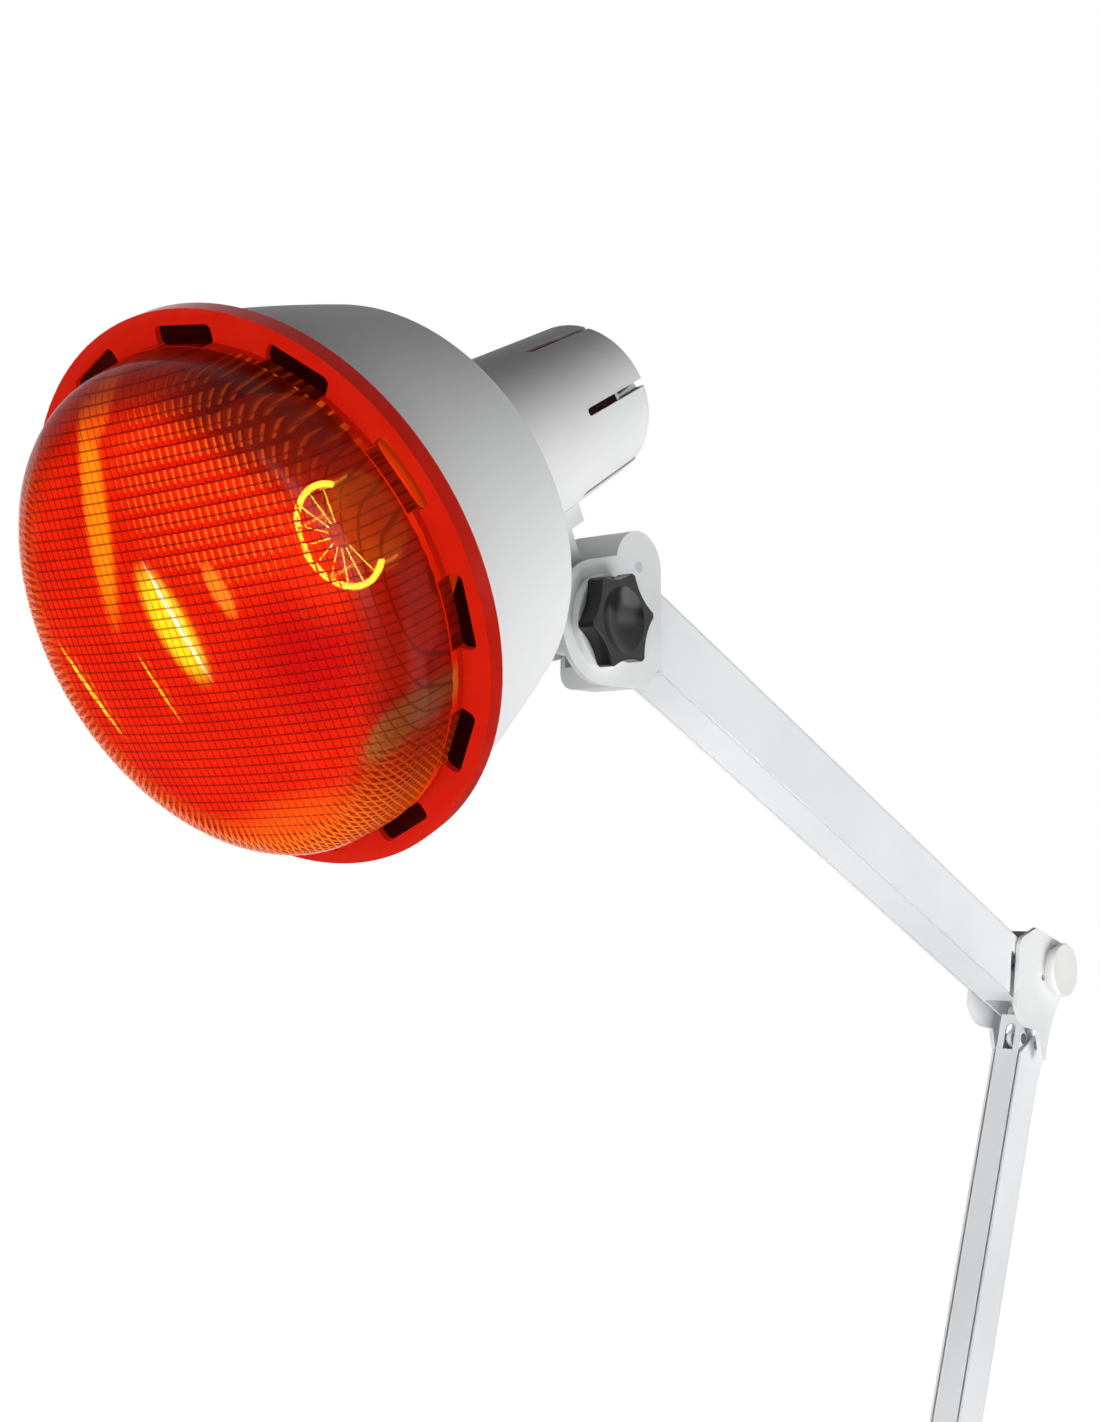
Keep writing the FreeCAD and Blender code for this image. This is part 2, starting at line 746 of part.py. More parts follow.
def bulb_glass():
    """Blown reflector bulb, hollow, with a stem seal at the neck."""
    body = new_body("bulb_glass")
    face = "-bulb_face"
    rim_at = "-bulb_face - bulb_face_radius + bulb_face_radius*cos(bulb_rim_turn)"
    rim = "bulb_face_radius*sin(bulb_rim_turn)"
    thin = "bulb_wall"
    back = "bulb_back_radius"
    bend_at = "-bulb_neck_at + bulb_neck_run"
    bend_radius = "bulb_neck_radius + bulb_neck_rise"
    path = [
        (face, "0", "bulb_face_radius", 1),
        (rim_at, rim, "bulb_shoulder", 1),
        ("-bulb_wide_at", "bulb_radius", back, 1),
        (bend_at, bend_radius, "bulb_neck_bend", -1),
        ("-bulb_neck_at", "bulb_neck_radius"),
        ("-cap_start", "bulb_neck_radius"),
        ("-cap_start", "0"),
        ("-cap_start + 2*%s" % thin, "0"),
        ("-cap_start + 2*%s" % thin, "bulb_neck_radius - %s" % thin),
        ("-bulb_neck_at", "bulb_neck_radius - %s" % thin, "bulb_neck_bend + %s" % thin, 1),
        (bend_at, "%s - %s" % (bend_radius, thin), "%s - %s" % (back, thin), -1),
        ("-bulb_wide_at", "bulb_radius - %s" % thin, "bulb_shoulder - %s" % thin, -1),
        (rim_at + " - 0.7*%s" % thin, rim + " - 0.7*%s" % thin,
         "bulb_face_radius - %s" % thin, -1),
        (face + " - %s" % thin, "0"),
    ]
    revolve(body, path)
    return keep(body, "bulb_glass", "housing")


def bulb_cap():
    """Screw cap with its insulated centre contact."""
    body = new_body("bulb_cap")
    path = [
        ("-cap_start", "0"),
        ("-cap_start", "bulb_neck_radius - cap_shoulder"),
        ("-cap_start - cap_shoulder", "cap_radius"),
        ("-cap_end + cap_shoulder", "cap_radius"),
        ("-cap_end", "cap_radius - cap_shoulder"),
        ("-(cap_end + contact_end)/2", "contact_radius"),
        ("-contact_end", "0.7*contact_radius"),
        ("-contact_end", "0"),
    ]
    revolve(body, path)
    return keep(body, "bulb_cap", "housing")


def filament():
    """The coil's outer shape: one thick arc round the lamp axis."""
    arc = doc.addObject("Part::Torus", "FilamentArc")
    bind(arc, Radius1="filament_radius", Radius2="filament_wire", Angle3="filament_sweep")
    arc.Placement = FreeCAD.Placement(
        FreeCAD.Vector(0, 0, 0),
        FreeCAD.Rotation(FreeCAD.Vector(0, 0, 1), FreeCAD.Vector(1, 0, 0)))
    arc.setExpression("Placement.Base.x", formula("-filament_at"))
    return group("filament", "housing", arc)


def filament_stem():
    """Glass stem from the neck with a disc that carries the support wires."""
    body = new_body("filament_stem")
    path = [
        ("-cap_start + 2*bulb_wall", "0"),
        ("-filament_at - stem_gap", "0"),
        ("-filament_at - stem_gap", "filament_radius"),
        ("-filament_at - stem_gap - stem_disc", "filament_radius"),
        ("-filament_at - stem_gap - 3*stem_disc", "stem_radius"),
        ("-cap_start + stem_seal", "stem_radius"),
        ("-cap_start + 2*bulb_wall", "bulb_neck_radius - 3*bulb_wall"),
    ]
    revolve(body, path)
    return keep(body, "filament_stem", "housing")


def filament_supports():
    """Four thin posts that hold the filament off the disc of the stem."""
    posts = []
    across = "(filament_radius - filament_wire - support_radius - seat_play)"
    for index in range(4):
        angle = 70 * index - 50
        centre = ("-filament_at - stem_gap", "%s*sin(%d)" % (across, angle),
                  "%s*cos(%d)" % (across, angle))
        posts.append(rod(centre, "x", "support_radius", "stem_gap + filament_wire"))
    return group("filament_supports", "housing", *posts)


def lampholder():
    """Ceramic holder with a stepped back and a socket for the screw sleeve."""
    body = new_body("lampholder")
    path = [
        ("-holder_start", "holder_bore"),
        ("-holder_start", "holder_radius"),
        ("-holder_start - holder_step", "holder_radius"),
        ("-holder_start - holder_step + holder_back_radius - holder_radius",
         "holder_back_radius"),
        ("-holder_end", "holder_back_radius"),
        ("-holder_end", "0"),
        ("-holder_floor", "0"),
        ("-holder_floor", "holder_bore"),
    ]
    revolve(body, path)
    return keep(body, "lampholder", "housing")


def holder_sleeve():
    """Brass screw sleeve that grips the bulb cap."""
    outer = "holder_bore - seat_play"
    tube = rod(("-holder_floor", "0", "0"), "x", outer, "sleeve_length")
    bore = rod(("-holder_floor - 1", "0", "0"), "x", outer + " - sleeve_wall", "sleeve_length + 2")
    return keep(cut(tube, bore), "holder_sleeve", "housing")


def holder_contact():
    """Spring tongue on the holder's floor, pressed by the bulb's contact."""
    blade = doc.addObject("Part::Box", "Blade")
    bind(blade, Length="holder_floor - contact_end", Width="6", Height="12")
    for letter, text in zip("xyz", ("-holder_floor", "-3", "-6")):
        blade.setExpression("Placement.Base." + letter, formula(text))
    return group("holder_contact", "housing", blade)


def holder_plate():
    """Round plate behind the holder, on two bosses that meet the rear wall."""
    plate = rod(("-plate_end", "0", "0"), "x", "plate_radius", "plate_wall")
    bosses = []
    bores = []
    for across in plate_screw_places():
        bosses.append(rod(("-plate_end", across, "0"), "-x", "plate_boss",
                          "housing_end - housing_wall - plate_end"))
        bores.append(rod(("-housing_end", across, "0"), "x", "screw_radius + seat_play",
                         "housing_end - plate_end + plate_wall + 1"))
    return keep(cut(fuse(plate, *bosses), *bores), "holder_plate", "housing")


def plate_screws():
    reach = "housing_end - plate_end + plate_wall + 1.5"
    return group("plate_screws", "housing", *[
        screw(("-housing_end", across, "0"), "x", reach) for across in plate_screw_places()])


def housing_screws():
    places = flange_screw_places("0")
    return group("housing_screws", "housing", *[
        screw(("-housing_start", y, z), "x", "housing_flange_wall + hood_wall + 6")
        for y, z in places])


def housing_nuts():
    """Round nuts on the housing screws, inside the hood."""
    nuts = []
    for y, z in flange_screw_places("0"):
        ring = rod(("-hood_depth + hood_wall", y, z), "x", "screw_head_radius", "3.2")
        bore = rod(("-hood_depth + hood_wall - 1", y, z), "x", "screw_radius + press_play", "6")
        nuts.append(cut(ring, bore))
    return group("housing_nuts", "housing", *nuts)


def cable_grommet():
    """Rubber bush in the rear wall where the supply enters."""
    body = new_body("cable_grommet")
    path = [
        ("-housing_end + housing_wall", "cable_bore"),
        ("-housing_end + housing_wall", "cable_bore + 2"),
        ("-housing_end + housing_wall + 2", "cable_bore + 1"),
        ("-housing_end + housing_wall + 2", "cable_bore - 2"),
        ("-housing_end - 2.5", "cable_bore - 2"),
        ("-housing_end - 2.5", "cable_bore + 1"),
        ("-housing_end", "cable_bore + 2"),
        ("-housing_end", "cable_bore"),
    ]
    revolve(body, path)
    return keep(body, "cable_grommet", "housing")


def head_bracket():
    """Cast bracket: a saddle under the housing, a neck and the round tongue."""
    body = new_body("head_bracket")
    pivot = ("-pivot_back", "-pivot_drop")
    rear = "-pivot_back - neck_half"
    front = "-pivot_back + neck_half"
    neck = [
        (rear, "-pivot_drop"),
        (front, "-pivot_drop"),
        (front, "saddle_seat - 12", "9", -1),
        (front + " + 9", "saddle_seat - 3"),
        (front + " + 9", "saddle_seat"),
        (rear, "saddle_seat"),
    ]
    pad(body, neck, "2*tongue_half")
    disc(body, "-tongue_half", "tongue_half", "tongue_radius", *pivot)
    # the saddle's underside follows the taper of the housing
    tip = "-pivot_back + saddle_front"
    saddle = [
        (rear, "saddle_seat - saddle_wall + housing_taper*neck_half"),
        (tip, "saddle_seat - saddle_wall - housing_taper*saddle_front"),
        (tip, "saddle_seat + 8"),
        (rear, "saddle_seat + 8"),
    ]
    pad(body, saddle, "2*saddle_half")
    # and its top is hollowed to the same taper
    sketch = new_sketch(body)
    near_end = tip + " + neck_half"
    far_end = rear + " - neck_half"
    radius = "housing_rise - housing_front_radius - seat_play - housing_taper*(%s)"
    outline(sketch, [
        (far_end, "housing_rise"),
        (far_end, radius % (far_end + " + housing_start")),
        (near_end, radius % (near_end + " + housing_start")),
        (near_end, "housing_rise"),
    ])
    line = sketch.addGeometry(Part.LineSegment(
        FreeCAD.Vector(number(far_end), number("housing_rise"), 0),
        FreeCAD.Vector(number(near_end), number("housing_rise"), 0)), True)
    hold(sketch, line, 1, far_end, "housing_rise")
    hold(sketch, line, 2, near_end, "housing_rise")
    hollow = body.newObject("PartDesign::Groove", body.Name + "Groove")
    hollow.Profile = sketch
    hollow.ReferenceAxis = (sketch, ["Axis0"])
    hollow.Angle = 360
    doc.recompute()
    pocket(body, "4*tongue_half", holes=[pivot + ("bolt_radius + shaft_play",)])
    sockets = [(x, "0", "screw_radius + seat_play") for x in saddle_screw_places()]
    sketch = new_sketch(body, "XY_Plane")
    for hole in sockets:
        circle(sketch, *hole)
    drilled = body.newObject("PartDesign::Pocket", body.Name + "Drill")
    drilled.Profile = sketch
    bind(drilled, Length="housing_front_radius - housing_rise + saddle_wall + 9")
    return keep(body, "head_bracket", "head")


def saddle_screws():
    """Screws from inside the housing down into the bracket's saddle."""
    screws = []
    for along in saddle_screw_places():
        level = "-(housing_front_radius - housing_wall - housing_taper*(-(%s) - housing_start))"
        screws.append(screw((along, "0", (level % along) + " + 0.6"), "-z", "housing_wall + 6"))
    return group("saddle_screws", "housing", *screws)


# ---------------------------------------------------------------- knuckle

EAR_AT = ("-ear_back", "ear_lift")
LINK_AT = ("-ear_back + link_x", "ear_lift + link_z")


def knuckle():
    """Cast fork: two cheeks with an ear each, a web over the ears and a chin.

    The cheek under the knob is round below, the far one is cut back to a small
    round end about the bolt.
    """
    body = new_body("knuckle")
    bolt = ("0", "0")
    bottom = "-nose_radius"
    outer = [
        ("-cheek_rear", "ear_lift", "ear_radius", -1),
        on_ring(EAR_AT, "ear_radius", "12"),
        on_ring(bolt, "nose_radius", "75") + ("nose_radius", -1),
        on_ring(bolt, "nose_radius", "-20") + ("nose_radius", -1),
        ("0", bottom),
        ("-cheek_rear + cheek_corner", bottom),
        ("-cheek_rear", bottom + " + cheek_corner"),
    ]
    pad(body, outer, "2*cheek_outer")
    rim = "(ear_radius - ear_web)"
    clear = "(nose_radius + ear_web)"
    top = bottom + " + chin_wall"
    gap = [
        on_ring(EAR_AT, rim, "150") + (rim, -1),
        on_ring(EAR_AT, rim, "12"),
        on_ring(EAR_AT, "(ear_radius + 6)", "12"),
        (clear, clear),
        (clear, "-" + clear),
        ("-chin_front", "-" + clear),
        ("-chin_front", top),
        ("-chin_rear", top),
        ("-chin_rear", "-" + clear),
        ("-cheek_rear - 4", "-" + clear),
        ("-cheek_rear - 4", EAR_AT[1] + " + ear_radius"),
        on_ring(EAR_AT, "(ear_radius + 6)", "150"),
    ]
    pocket(body, "2*cheek_inner", gap)
    # the far cheek ends in a small round about the bolt, and in the chin
    pocket(body, "2*cheek_wall", [
        on_ring(EAR_AT, "ear_radius", "12"),
        on_ring(bolt, "far_radius", "60") + ("far_radius", -1),
        on_ring(bolt, "far_radius", "-35") + ("far_radius", -1),
        on_ring(bolt, "far_radius", "-130"),
        ("-chin_front", "-" + clear),
        (clear, "-" + clear),
        (clear, clear),
    ], lift="cheek_outer")
    # the chin is rounded on the far side
    pocket(body, "2*cheek_rear", [
        ("-cheek_outer", bottom + " + chin_round", "chin_round", 1),
        ("-cheek_outer + chin_round", bottom),
        ("-cheek_outer - 1", bottom + " - 1"),
    ], plane="YZ_Plane")
    # the lug that carries the parallel link stands on the chin
    lug = [
        (LINK_AT[0] + " - lug_radius", top + " - 2"),
        ("-chin_front", top + " - 2"),
        ("-chin_front", top),
        (LINK_AT[0] + " + lug_radius", top),
    ] + half_round(LINK_AT, "lug_radius", 0)
    pad(body, lug, "2*knuckle_lug_half")
    # round bosses on both cheeks, inside for the washers and outside for the knob
    for low, high, radius in (("boss_end", "cheek_inner", "boss_radius"),
                              ("cheek_outer", "cheek_outer + knob_boss_height",
                               "knob_boss_radius"),
                              ("-cheek_inner", "-boss_end", "boss_radius")):
        disc(body, low, high, radius)
    fillet(body, "1.2", lambda edge: edge.Closed
           and flat_in(edge, 1, "cheek_outer + knob_boss_height"))
    pocket(body, "4*cheek_outer", holes=[bolt + ("bolt_radius + seat_play",)])
    pocket(body, "4*cheek_outer", holes=[EAR_AT + ("pin_radius + press_play",)])
    pocket(body, "4*cheek_outer", holes=[LINK_AT + ("pin_radius + press_play",)])
    return keep(body, "knuckle", "knuckle")


def disc(body, low, high, radius, along_x="0", along_z="0"):
    """A round boss between two values of y."""
    sketch = new_sketch(body, lift="-(%s + %s)/2" % (low, high))
    circle(sketch, along_x, along_z, radius)
    raised = body.newObject("PartDesign::Pad", body.Name + "Boss")
    raised.Profile = sketch
    raised.SideType = "Symmetric"
    bind(raised, Length="%s - (%s)" % (high, low))
    return raised


def tilt_washers():
    """Fibre washers between the tongue and the bosses of the cheeks."""
    rings = []
    for side in ("", "-"):
        start = "tongue_half" if not side else "-tongue_half"
        ring = rod(("0", start, "0"), side + "y", "washer_radius", "washer_wall")
        bore = rod(("0", start, "0"), side + "y", "bolt_radius + seat_play", "2*washer_wall")
        rings.append(cut(ring, bore))
    return group("tilt_washers", "knuckle", *rings)


def tilt_bolt():
    """Bolt with a hexagon head on the far cheek, up into the knob."""
    head = doc.addObject("Part::Prism", "BoltHead")
    head.Polygon = 6
    bind(head, Circumradius="bolt_head_radius", Height="bolt_head_height")
    head.Placement = FreeCAD.Placement(
        FreeCAD.Vector(0, 0, 0), FreeCAD.Rotation(FreeCAD.Vector(1, 0, 0), 90))
    head.setExpression("Placement.Base.y", formula("-cheek_outer"))
    shank = rod(("0", "-cheek_outer - 1", "0"), "y", "bolt_radius",
                "cheek_outer + 1 + knob_base + insert_length")
    return keep(fuse(head, shank), "tilt_bolt", "knuckle")


def star_knob():
    """Six-pointed clamping knob with hollow sides and a round dish in its face."""
    body = new_body("star_knob")
    disc(body, "knob_base", "knob_face", "knob_radius")
    turn = "knob_turned"
    side = pocket(body, "4*knob_face",
                  holes=[("scallop_centre*cos(%s)" % turn, "scallop_centre*sin(%s)" % turn,
                          "scallop_radius")])
    around(body, side, "6", "Y_Axis")
    fillet(body, "0.8", lambda edge: near(edge.BoundBox.YLength, "knob_height"))
    fillet(body, "0.7", lambda edge: flat_in(edge, 1, "knob_face"))
    # the dish is a shallow ball-shaped hollow
    sketch = new_sketch(body, "XY_Plane")
    face = "knob_face"
    outline(sketch, [
        ("0", face + " - dish_depth", "dish_sphere", 1),
        ("dish_radius", face),
        ("dish_radius", face + " + 1"),
        ("0", face + " + 1"),
    ])
    dish = body.newObject("PartDesign::Groove", body.Name + "Dish")
    dish.Profile = sketch
    dish.ReferenceAxis = (sketch, ["V_Axis"])
    dish.Angle = 360
    doc.recompute()
    sketch = new_sketch(body, lift="-knob_base")
    circle(sketch, "0", "0", "insert_radius + press_play")
    seat = body.newObject("PartDesign::Pocket", body.Name + "Seat")
    seat.Profile = sketch
    seat.SideType = "Symmetric"
    bind(seat, Length="2*insert_length")
    return keep(body, "star_knob", "knuckle")


def knob_insert():
    """Threaded brass insert in the foot of the knob."""
    ring = rod(("0", "knob_base", "0"), "y", "insert_radius", "insert_length")
    bore = rod(("0", "knob_base - 1", "0"), "y", "bolt_radius + shaft_play", "insert_length + 2")
    return keep(cut(ring, bore), "knob_insert", "knuckle")


# ---------------------------------------------------------------- upper arm

def channel(name, frame, side_path, hollow_path, half, thin, holes, plane="XZ_Plane"):
    """A U-shaped channel: its side outline, less the space between its walls."""
    body = new_body(name)
    pad(body, side_path, "2*%s" % half, plane)
    pocket(body, "2*(%s - %s)" % (half, thin), hollow_path, plane=plane)
    pocket(body, "4*%s" % half, holes=holes, plane=plane)
    return body


def bend(body, plane, middle, run, corner, outwards, radius):
    """Round an outer corner of a channel's back along its run."""
    along, up = outwards
    across = "%s - %d*%s" % (corner[0], along, radius)
    below = "%s - %d*%s" % (corner[1], up, radius)
    pocket(body, run, [
        (across, "%s + %d" % (corner[1], up)),
        (across, corner[1], radius, -along * up),
        (corner[0], below),
        ("%s + %d" % (corner[0], along), below),
        ("%s + %d" % (corner[0], along), "%s + %d" % (corner[1], up)),
    ], plane=plane, lift=middle)


def upper_channel():
    """Outer channel of the upper arm, open downwards, with an ear at each end."""
    top = "upper_top"
    low = "upper_top - upper_depth"
    far = "upper_length"
    ear = "arm_ear"
    sides = [
        ("47", "-%s - 1" % ear),
        ("40", low),
        (far + " - 18", low),
        (far + " - 11", "-22"),
    ] + half_round((far, "0"), ear, -90) + [
        (far + " - web_start", top),
        ("web_start", top),
    ] + half_round(("0", "0"), ear, 90)
    under = "upper_top - channel_wall"
    hollow = [
        ("-20", "-60"),
        (far + " + 20", "-60"),
        (far + " + 20", "20"),
        (far + " - web_start", "20"),
        (far + " - web_start", under),
        ("web_start", under),
        ("web_start", "20"),
        ("-20", "20"),
    ]
    play = "pin_radius + shaft_play"
    body = channel("upper_channel", "upper", sides, hollow, "upper_half", "channel_wall",
                   [("0", "0", play), (far, "0", play)])
    for side in (1, -1):
        bend(body, "YZ_Plane", "upper_length/2", "upper_length - 2*web_start",
             ("%d*upper_half" % side, top), (side, 1), "channel_bend")
    return keep(body, "upper_channel", "upper")


def upper_link():
    """Inner channel of the upper arm, the parallel link, open upwards."""
    low = "upper_top - upper_depth"
    high = "upper_top - upper_depth + upper_link_depth"
    start = "-link_back"
    stop = "upper_length - link_back"
    level = "-link_drop"
    ear = "link_ear"
    sides = [
        (start + " + link_lead", low),
        (stop + " - link_lead", low),
    ] + half_round((stop, level), ear, -90) + [
        (stop + " - link_lead", high),
        (start + " + link_lead", high),
    ] + half_round((start, level), ear, 90)
    hollow = [
        (start + " - 20", "-60"),
        (start + " + link_web_start", "-60"),
        (start + " + link_web_start", low + " + link_wall"),
        (stop + " - link_web_start", low + " + link_wall"),
        (stop + " - link_web_start", "-60"),
        (stop + " + 20", "-60"),
        (stop + " + 20", "0"),
        (start + " - 20", "0"),
    ]
    body = channel("upper_link", "upper", sides, hollow, "upper_link_half", "link_wall",
                   [(start, level, "pin_radius + shaft_play"),
                    (stop, level, "pin_radius + open_play")])
    return keep(body, "upper_link", "upper")


def spring(name, frame, start, stop):
    """Close-wound tension spring between two posts, seen as its outer tube.

    start and stop are (x, z) formulas of the posts; each end has a straight
    leg and a round eye.
    """
    run = "hypot(%s - (%s); %s - (%s))" % (stop[0], start[0], stop[1], start[1])
    tube = rod(("0", "0", "spring_leg"), "z", "spring_radius", run + " - 2*spring_leg")
    bore = rod(("0", "0", "spring_leg - 1"), "z", "spring_radius - spring_wire",
               run + " - 2*spring_leg + 2")
    pieces = [cut(tube, bore)]
    for end in ("low", "high"):
        ring = doc.addObject("Part::Torus", "Eye")
        bind(ring, Radius1="spring_eye", Radius2="spring_wire/2")
        ring.Placement = FreeCAD.Placement(
            FreeCAD.Vector(0, 0, 0), FreeCAD.Rotation(FreeCAD.Vector(1, 0, 0), 90))
        if end == "low":
            leg_at = "spring_eye"
            plug_at = "spring_leg"
        else:
            ring.setExpression("Placement.Base.z", formula(run))
            leg_at = run + " - spring_leg - spring_plug/2"
            plug_at = run + " - spring_leg - spring_plug"
        leg = rod(("0", "0", leg_at), "z", "spring_wire/2",
                  "spring_leg + spring_plug/2 - spring_eye")
        plug = rod(("0", "0", plug_at), "z", "spring_radius", "spring_plug")
        pieces += [ring, leg, plug]
    whole = fuse(*pieces)
    whole.Placement = FreeCAD.Placement(
        FreeCAD.Vector(0, 0, 0), FreeCAD.Rotation(FreeCAD.Vector(0, 1, 0), 1))
    whole.setExpression("Placement.Base.x", formula(start[0]))
    whole.setExpression("Placement.Base.z", formula(start[1]))
    whole.setExpression("Placement.Rotation.Angle", formula(
        "atan2(%s - (%s); %s - (%s))" % (stop[0], start[0], stop[1], start[1])))
    return group(name, frame, whole)


UPPER_LINK_POST = ("70", "-link_drop + 3")
UPPER_POST = ("upper_length - 110", "-9")


# ---------------------------------------------------------------- elbow

ELBOW_LINK = ("link_x", "link_z")
ELBOW_LOWER = ("elbow_set", "-elbow_drop")
ELBOW_LOWER_LINK = ("elbow_set + low_link_x", "-elbow_drop + low_link_z")


def elbow_bracket():
    """Two cheeks joined by a web over the top and back, with a spine between.

    The cap's axis carries the upper arm; the spine carries the upper link and
    both channels of the lower arm.
    """
    body = new_body("elbow_bracket")
    pivot = ("0", "0")
    crest = ("elbow_crest_at", "elbow_crest")
    outer = [
        on_ring(pivot, "elbow_rear_radius", "112") + ("elbow_rear_radius", 1),
        on_ring(pivot, "elbow_rear_radius", "235") + ("elbow_waist_radius", -1),
        ("elbow_set + 0.5", "-elbow_foot + 3.5"),
        ("elbow_set + 1.5", "-elbow_foot"),
        ("elbow_set + 5", "-elbow_foot"),
        ("elbow_set + 7", "-elbow_foot + 8"),
        ("elbow_set + 9", "-elbow_foot + 17"),
        ("elbow_front - 17", "-31.5", "elbow_lobe_radius", 1),
        ("elbow_front", "-19"),
        ("elbow_front - 5", "12", "8", 1),
        ("elbow_front - 12", "20"),
        crest,
    ]
    pad(body, outer, "2*cheek_outer")
    rim = "(elbow_rear_radius - elbow_web)"
    gap = [
        on_ring(pivot, rim, "112") + (rim, 1),
        on_ring(pivot, rim, "235") + ("elbow_waist_radius + elbow_web", -1),
        ("0", "-elbow_web_end"),
        ("-8", "-elbow_web_end - 5.5"),
        ("-8", "-elbow_foot - 6"),
        ("elbow_front + 8", "-elbow_foot - 6"),
        ("elbow_front + 8", "elbow_crest + 10"),
        ("roof_end", "elbow_crest + 10"),
        ("roof_end", "elbow_crest - elbow_web - (elbow_crest_at - roof_end)*roof_slope"),
    ]
    pocket(body, "2*cheek_inner", gap)
    spine = [
        on_ring(pivot, rim, "235"),
        ("elbow_set - 4", "-30"),
        on_ring(ELBOW_LOWER, "lug_radius", "200") + ("lug_radius", 1),
        on_ring(ELBOW_LOWER, "lug_radius", "10"),
        on_ring(ELBOW_LINK, "lug_radius", "-10") + ("lug_radius", 1),
        on_ring(ELBOW_LINK, "lug_radius", "140"),
    ]
    pad(body, spine, "2*spine_half")
    # a thin tongue passes through the slot of the lower link
    tongue = [
        ELBOW_LOWER,
        on_ring(ELBOW_LOWER, "lug_radius", "-60"),
        on_ring(ELBOW_LOWER_LINK, "link_lug_radius", "-60") + ("link_lug_radius", 1),
        on_ring(ELBOW_LOWER_LINK, "link_lug_radius", "95"),
        on_ring(ELBOW_LINK, "lug_radius", "-10"),
    ]
    pad(body, tongue, "2*link_tongue_half")
    for low, high in (("spine_half", "upper_lug_half"), ("-upper_lug_half", "-spine_half")):
        disc(body, low, high, "lug_radius", *ELBOW_LINK)
    pocket(body, "4*cheek_outer", holes=[pivot + ("pin_radius + press_play",)])
    pocket(body, "4*cheek_outer", holes=[
        ("elbow_hole_ahead", "-elbow_hole_drop", "elbow_hole_radius")])
    pocket(body, "2*cheek_inner - 1", holes=[
        ELBOW_LINK + ("pin_radius + press_play",), ELBOW_LOWER + ("pin_radius + press_play",),
        ELBOW_LOWER_LINK + ("pin_radius + press_play",)])
    return keep(body, "elbow_bracket", "elbow")


def elbow_cap():
    """Round cap on the near cheek: a neck and a flat disc with a soft edge."""
    body = new_body("elbow_cap")
    neck_end = "cheek_outer + cap_neck_height"
    disc(body, "cheek_outer", neck_end, "cap_neck_radius")
    disc(body, neck_end, neck_end + " + cap_disc_height", "cap_disc_radius")
    fillet(body, "0.8", lambda edge: edge.Closed
           and flat_in(edge, 1, neck_end + " + cap_disc_height"))
    sketch = new_sketch(body, lift="-cheek_outer")
    circle(sketch, "0", "0", "pin_radius + press_play")
    seat = body.newObject("PartDesign::Pocket", body.Name + "Seat")
    seat.Profile = sketch
    seat.SideType = "Symmetric"
    bind(seat, Length="2*cap_neck_height")
    return keep(body, "elbow_cap", "elbow")


def elbow_pin():
    """Through pin of the upper arm, from the far cheek into the cap."""
    shank = rod(("0", "-cheek_outer", "0"), "y", "pin_radius", "2*cheek_outer + cap_neck_height")
    head = rod(("0", "-cheek_outer", "0"), "-y", "2*pin_radius", "1.6")
    return keep(fuse(shank, head), "elbow_pin", "elbow")


# ---------------------------------------------------------------- lower arm

def lower_channel():
    """Outer channel of the lower arm, open forwards."""
    back = "-lower_behind"
    front = "lower_ahead"
    top = "lower_length"
    ear = "lower_ear"
    sides = [
        (back, "0"),
        ("0", "-" + ear),
        (ear, "0"),
        (front, "9"),
        (front, top + " - 9"),
        (ear, top),
        ("0", "%s + %s" % (top, ear)),
        (back, top),
    ]
    inner = back + " + lower_wall"
    hollow = [
        (back + " - 5", "-20"),
        (front + " + 5", "-20"),
        (front + " + 5", top + " + 20"),
        (back + " - 5", top + " + 20"),
        (back + " - 5", top + " - lower_web_start"),
        (inner, top + " - lower_web_start"),
        (inner, "lower_web_start"),
        (back + " - 5", "lower_web_start"),
    ]
    play = "pin_radius + shaft_play"
    body = channel("lower_channel", "lower", sides, hollow, "lower_half", "lower_wall",
                   [("0", "0", play), ("0", top, play)])
    for side in (1, -1):
        bend(body, "XY_Plane", "lower_length/2", "lower_length - 2*lower_web_start",
             (back, "%d*lower_half" % side), (-1, side), "lower_bend")
    return keep(body, "lower_channel", "lower")


def lower_link():
    """Inner channel of the lower arm, its web forwards in the outer's mouth."""
    front = "lower_ahead"
    back = "lower_ahead - lower_link_depth"
    top = "lower_length"
    at = "lower_link_ahead"
    ear = "lower_link_ear"
    crest = top + " + lower_link_crest"
    sides = half_round((at, "0"), ear, 180) + [
        (front, "link_lead"),
        (front, crest),
        (front + " - link_wall", crest),
        on_ring((at, top), ear, "90") + (ear, 1),
        on_ring((at, top), ear, "180"),
        (back, top + " - link_lead"),
        (back, "link_lead"),
    ]
    inner = front + " - link_wall"
    hollow = [
        (back + " - 5", "-20"),
        (front + " + 5", "-20"),
        (front + " + 5", "lower_web_start"),
        (inner, "lower_web_start"),
        (inner, crest + " + 5"),
        (back + " - 5", crest + " + 5"),
    ]
    body = channel("lower_link", "lower", sides, hollow, "lower_link_half", "link_wall",
                   [(at, "0", "pin_radius + shaft_play"), (at, top, "pin_radius + open_play")])
    slot_low = top + " - link_slot_reach"
    slot_high = top + " + link_slot_reach - link_slot_half"
    slot = [("-link_slot_half", slot_low), ("link_slot_half", slot_low)]
    slot += half_round(("0", slot_high), "link_slot_half", 0)
    pocket(body, "2*lower_link_depth", slot, plane="YZ_Plane", lift="lower_ahead")
    return keep(body, "lower_link", "lower")


LOWER_LINK_POST = ("lower_link_ahead - 4", "60")
LOWER_POST = ("-1", "lower_length - 90")


# ---------------------------------------------------------------- base

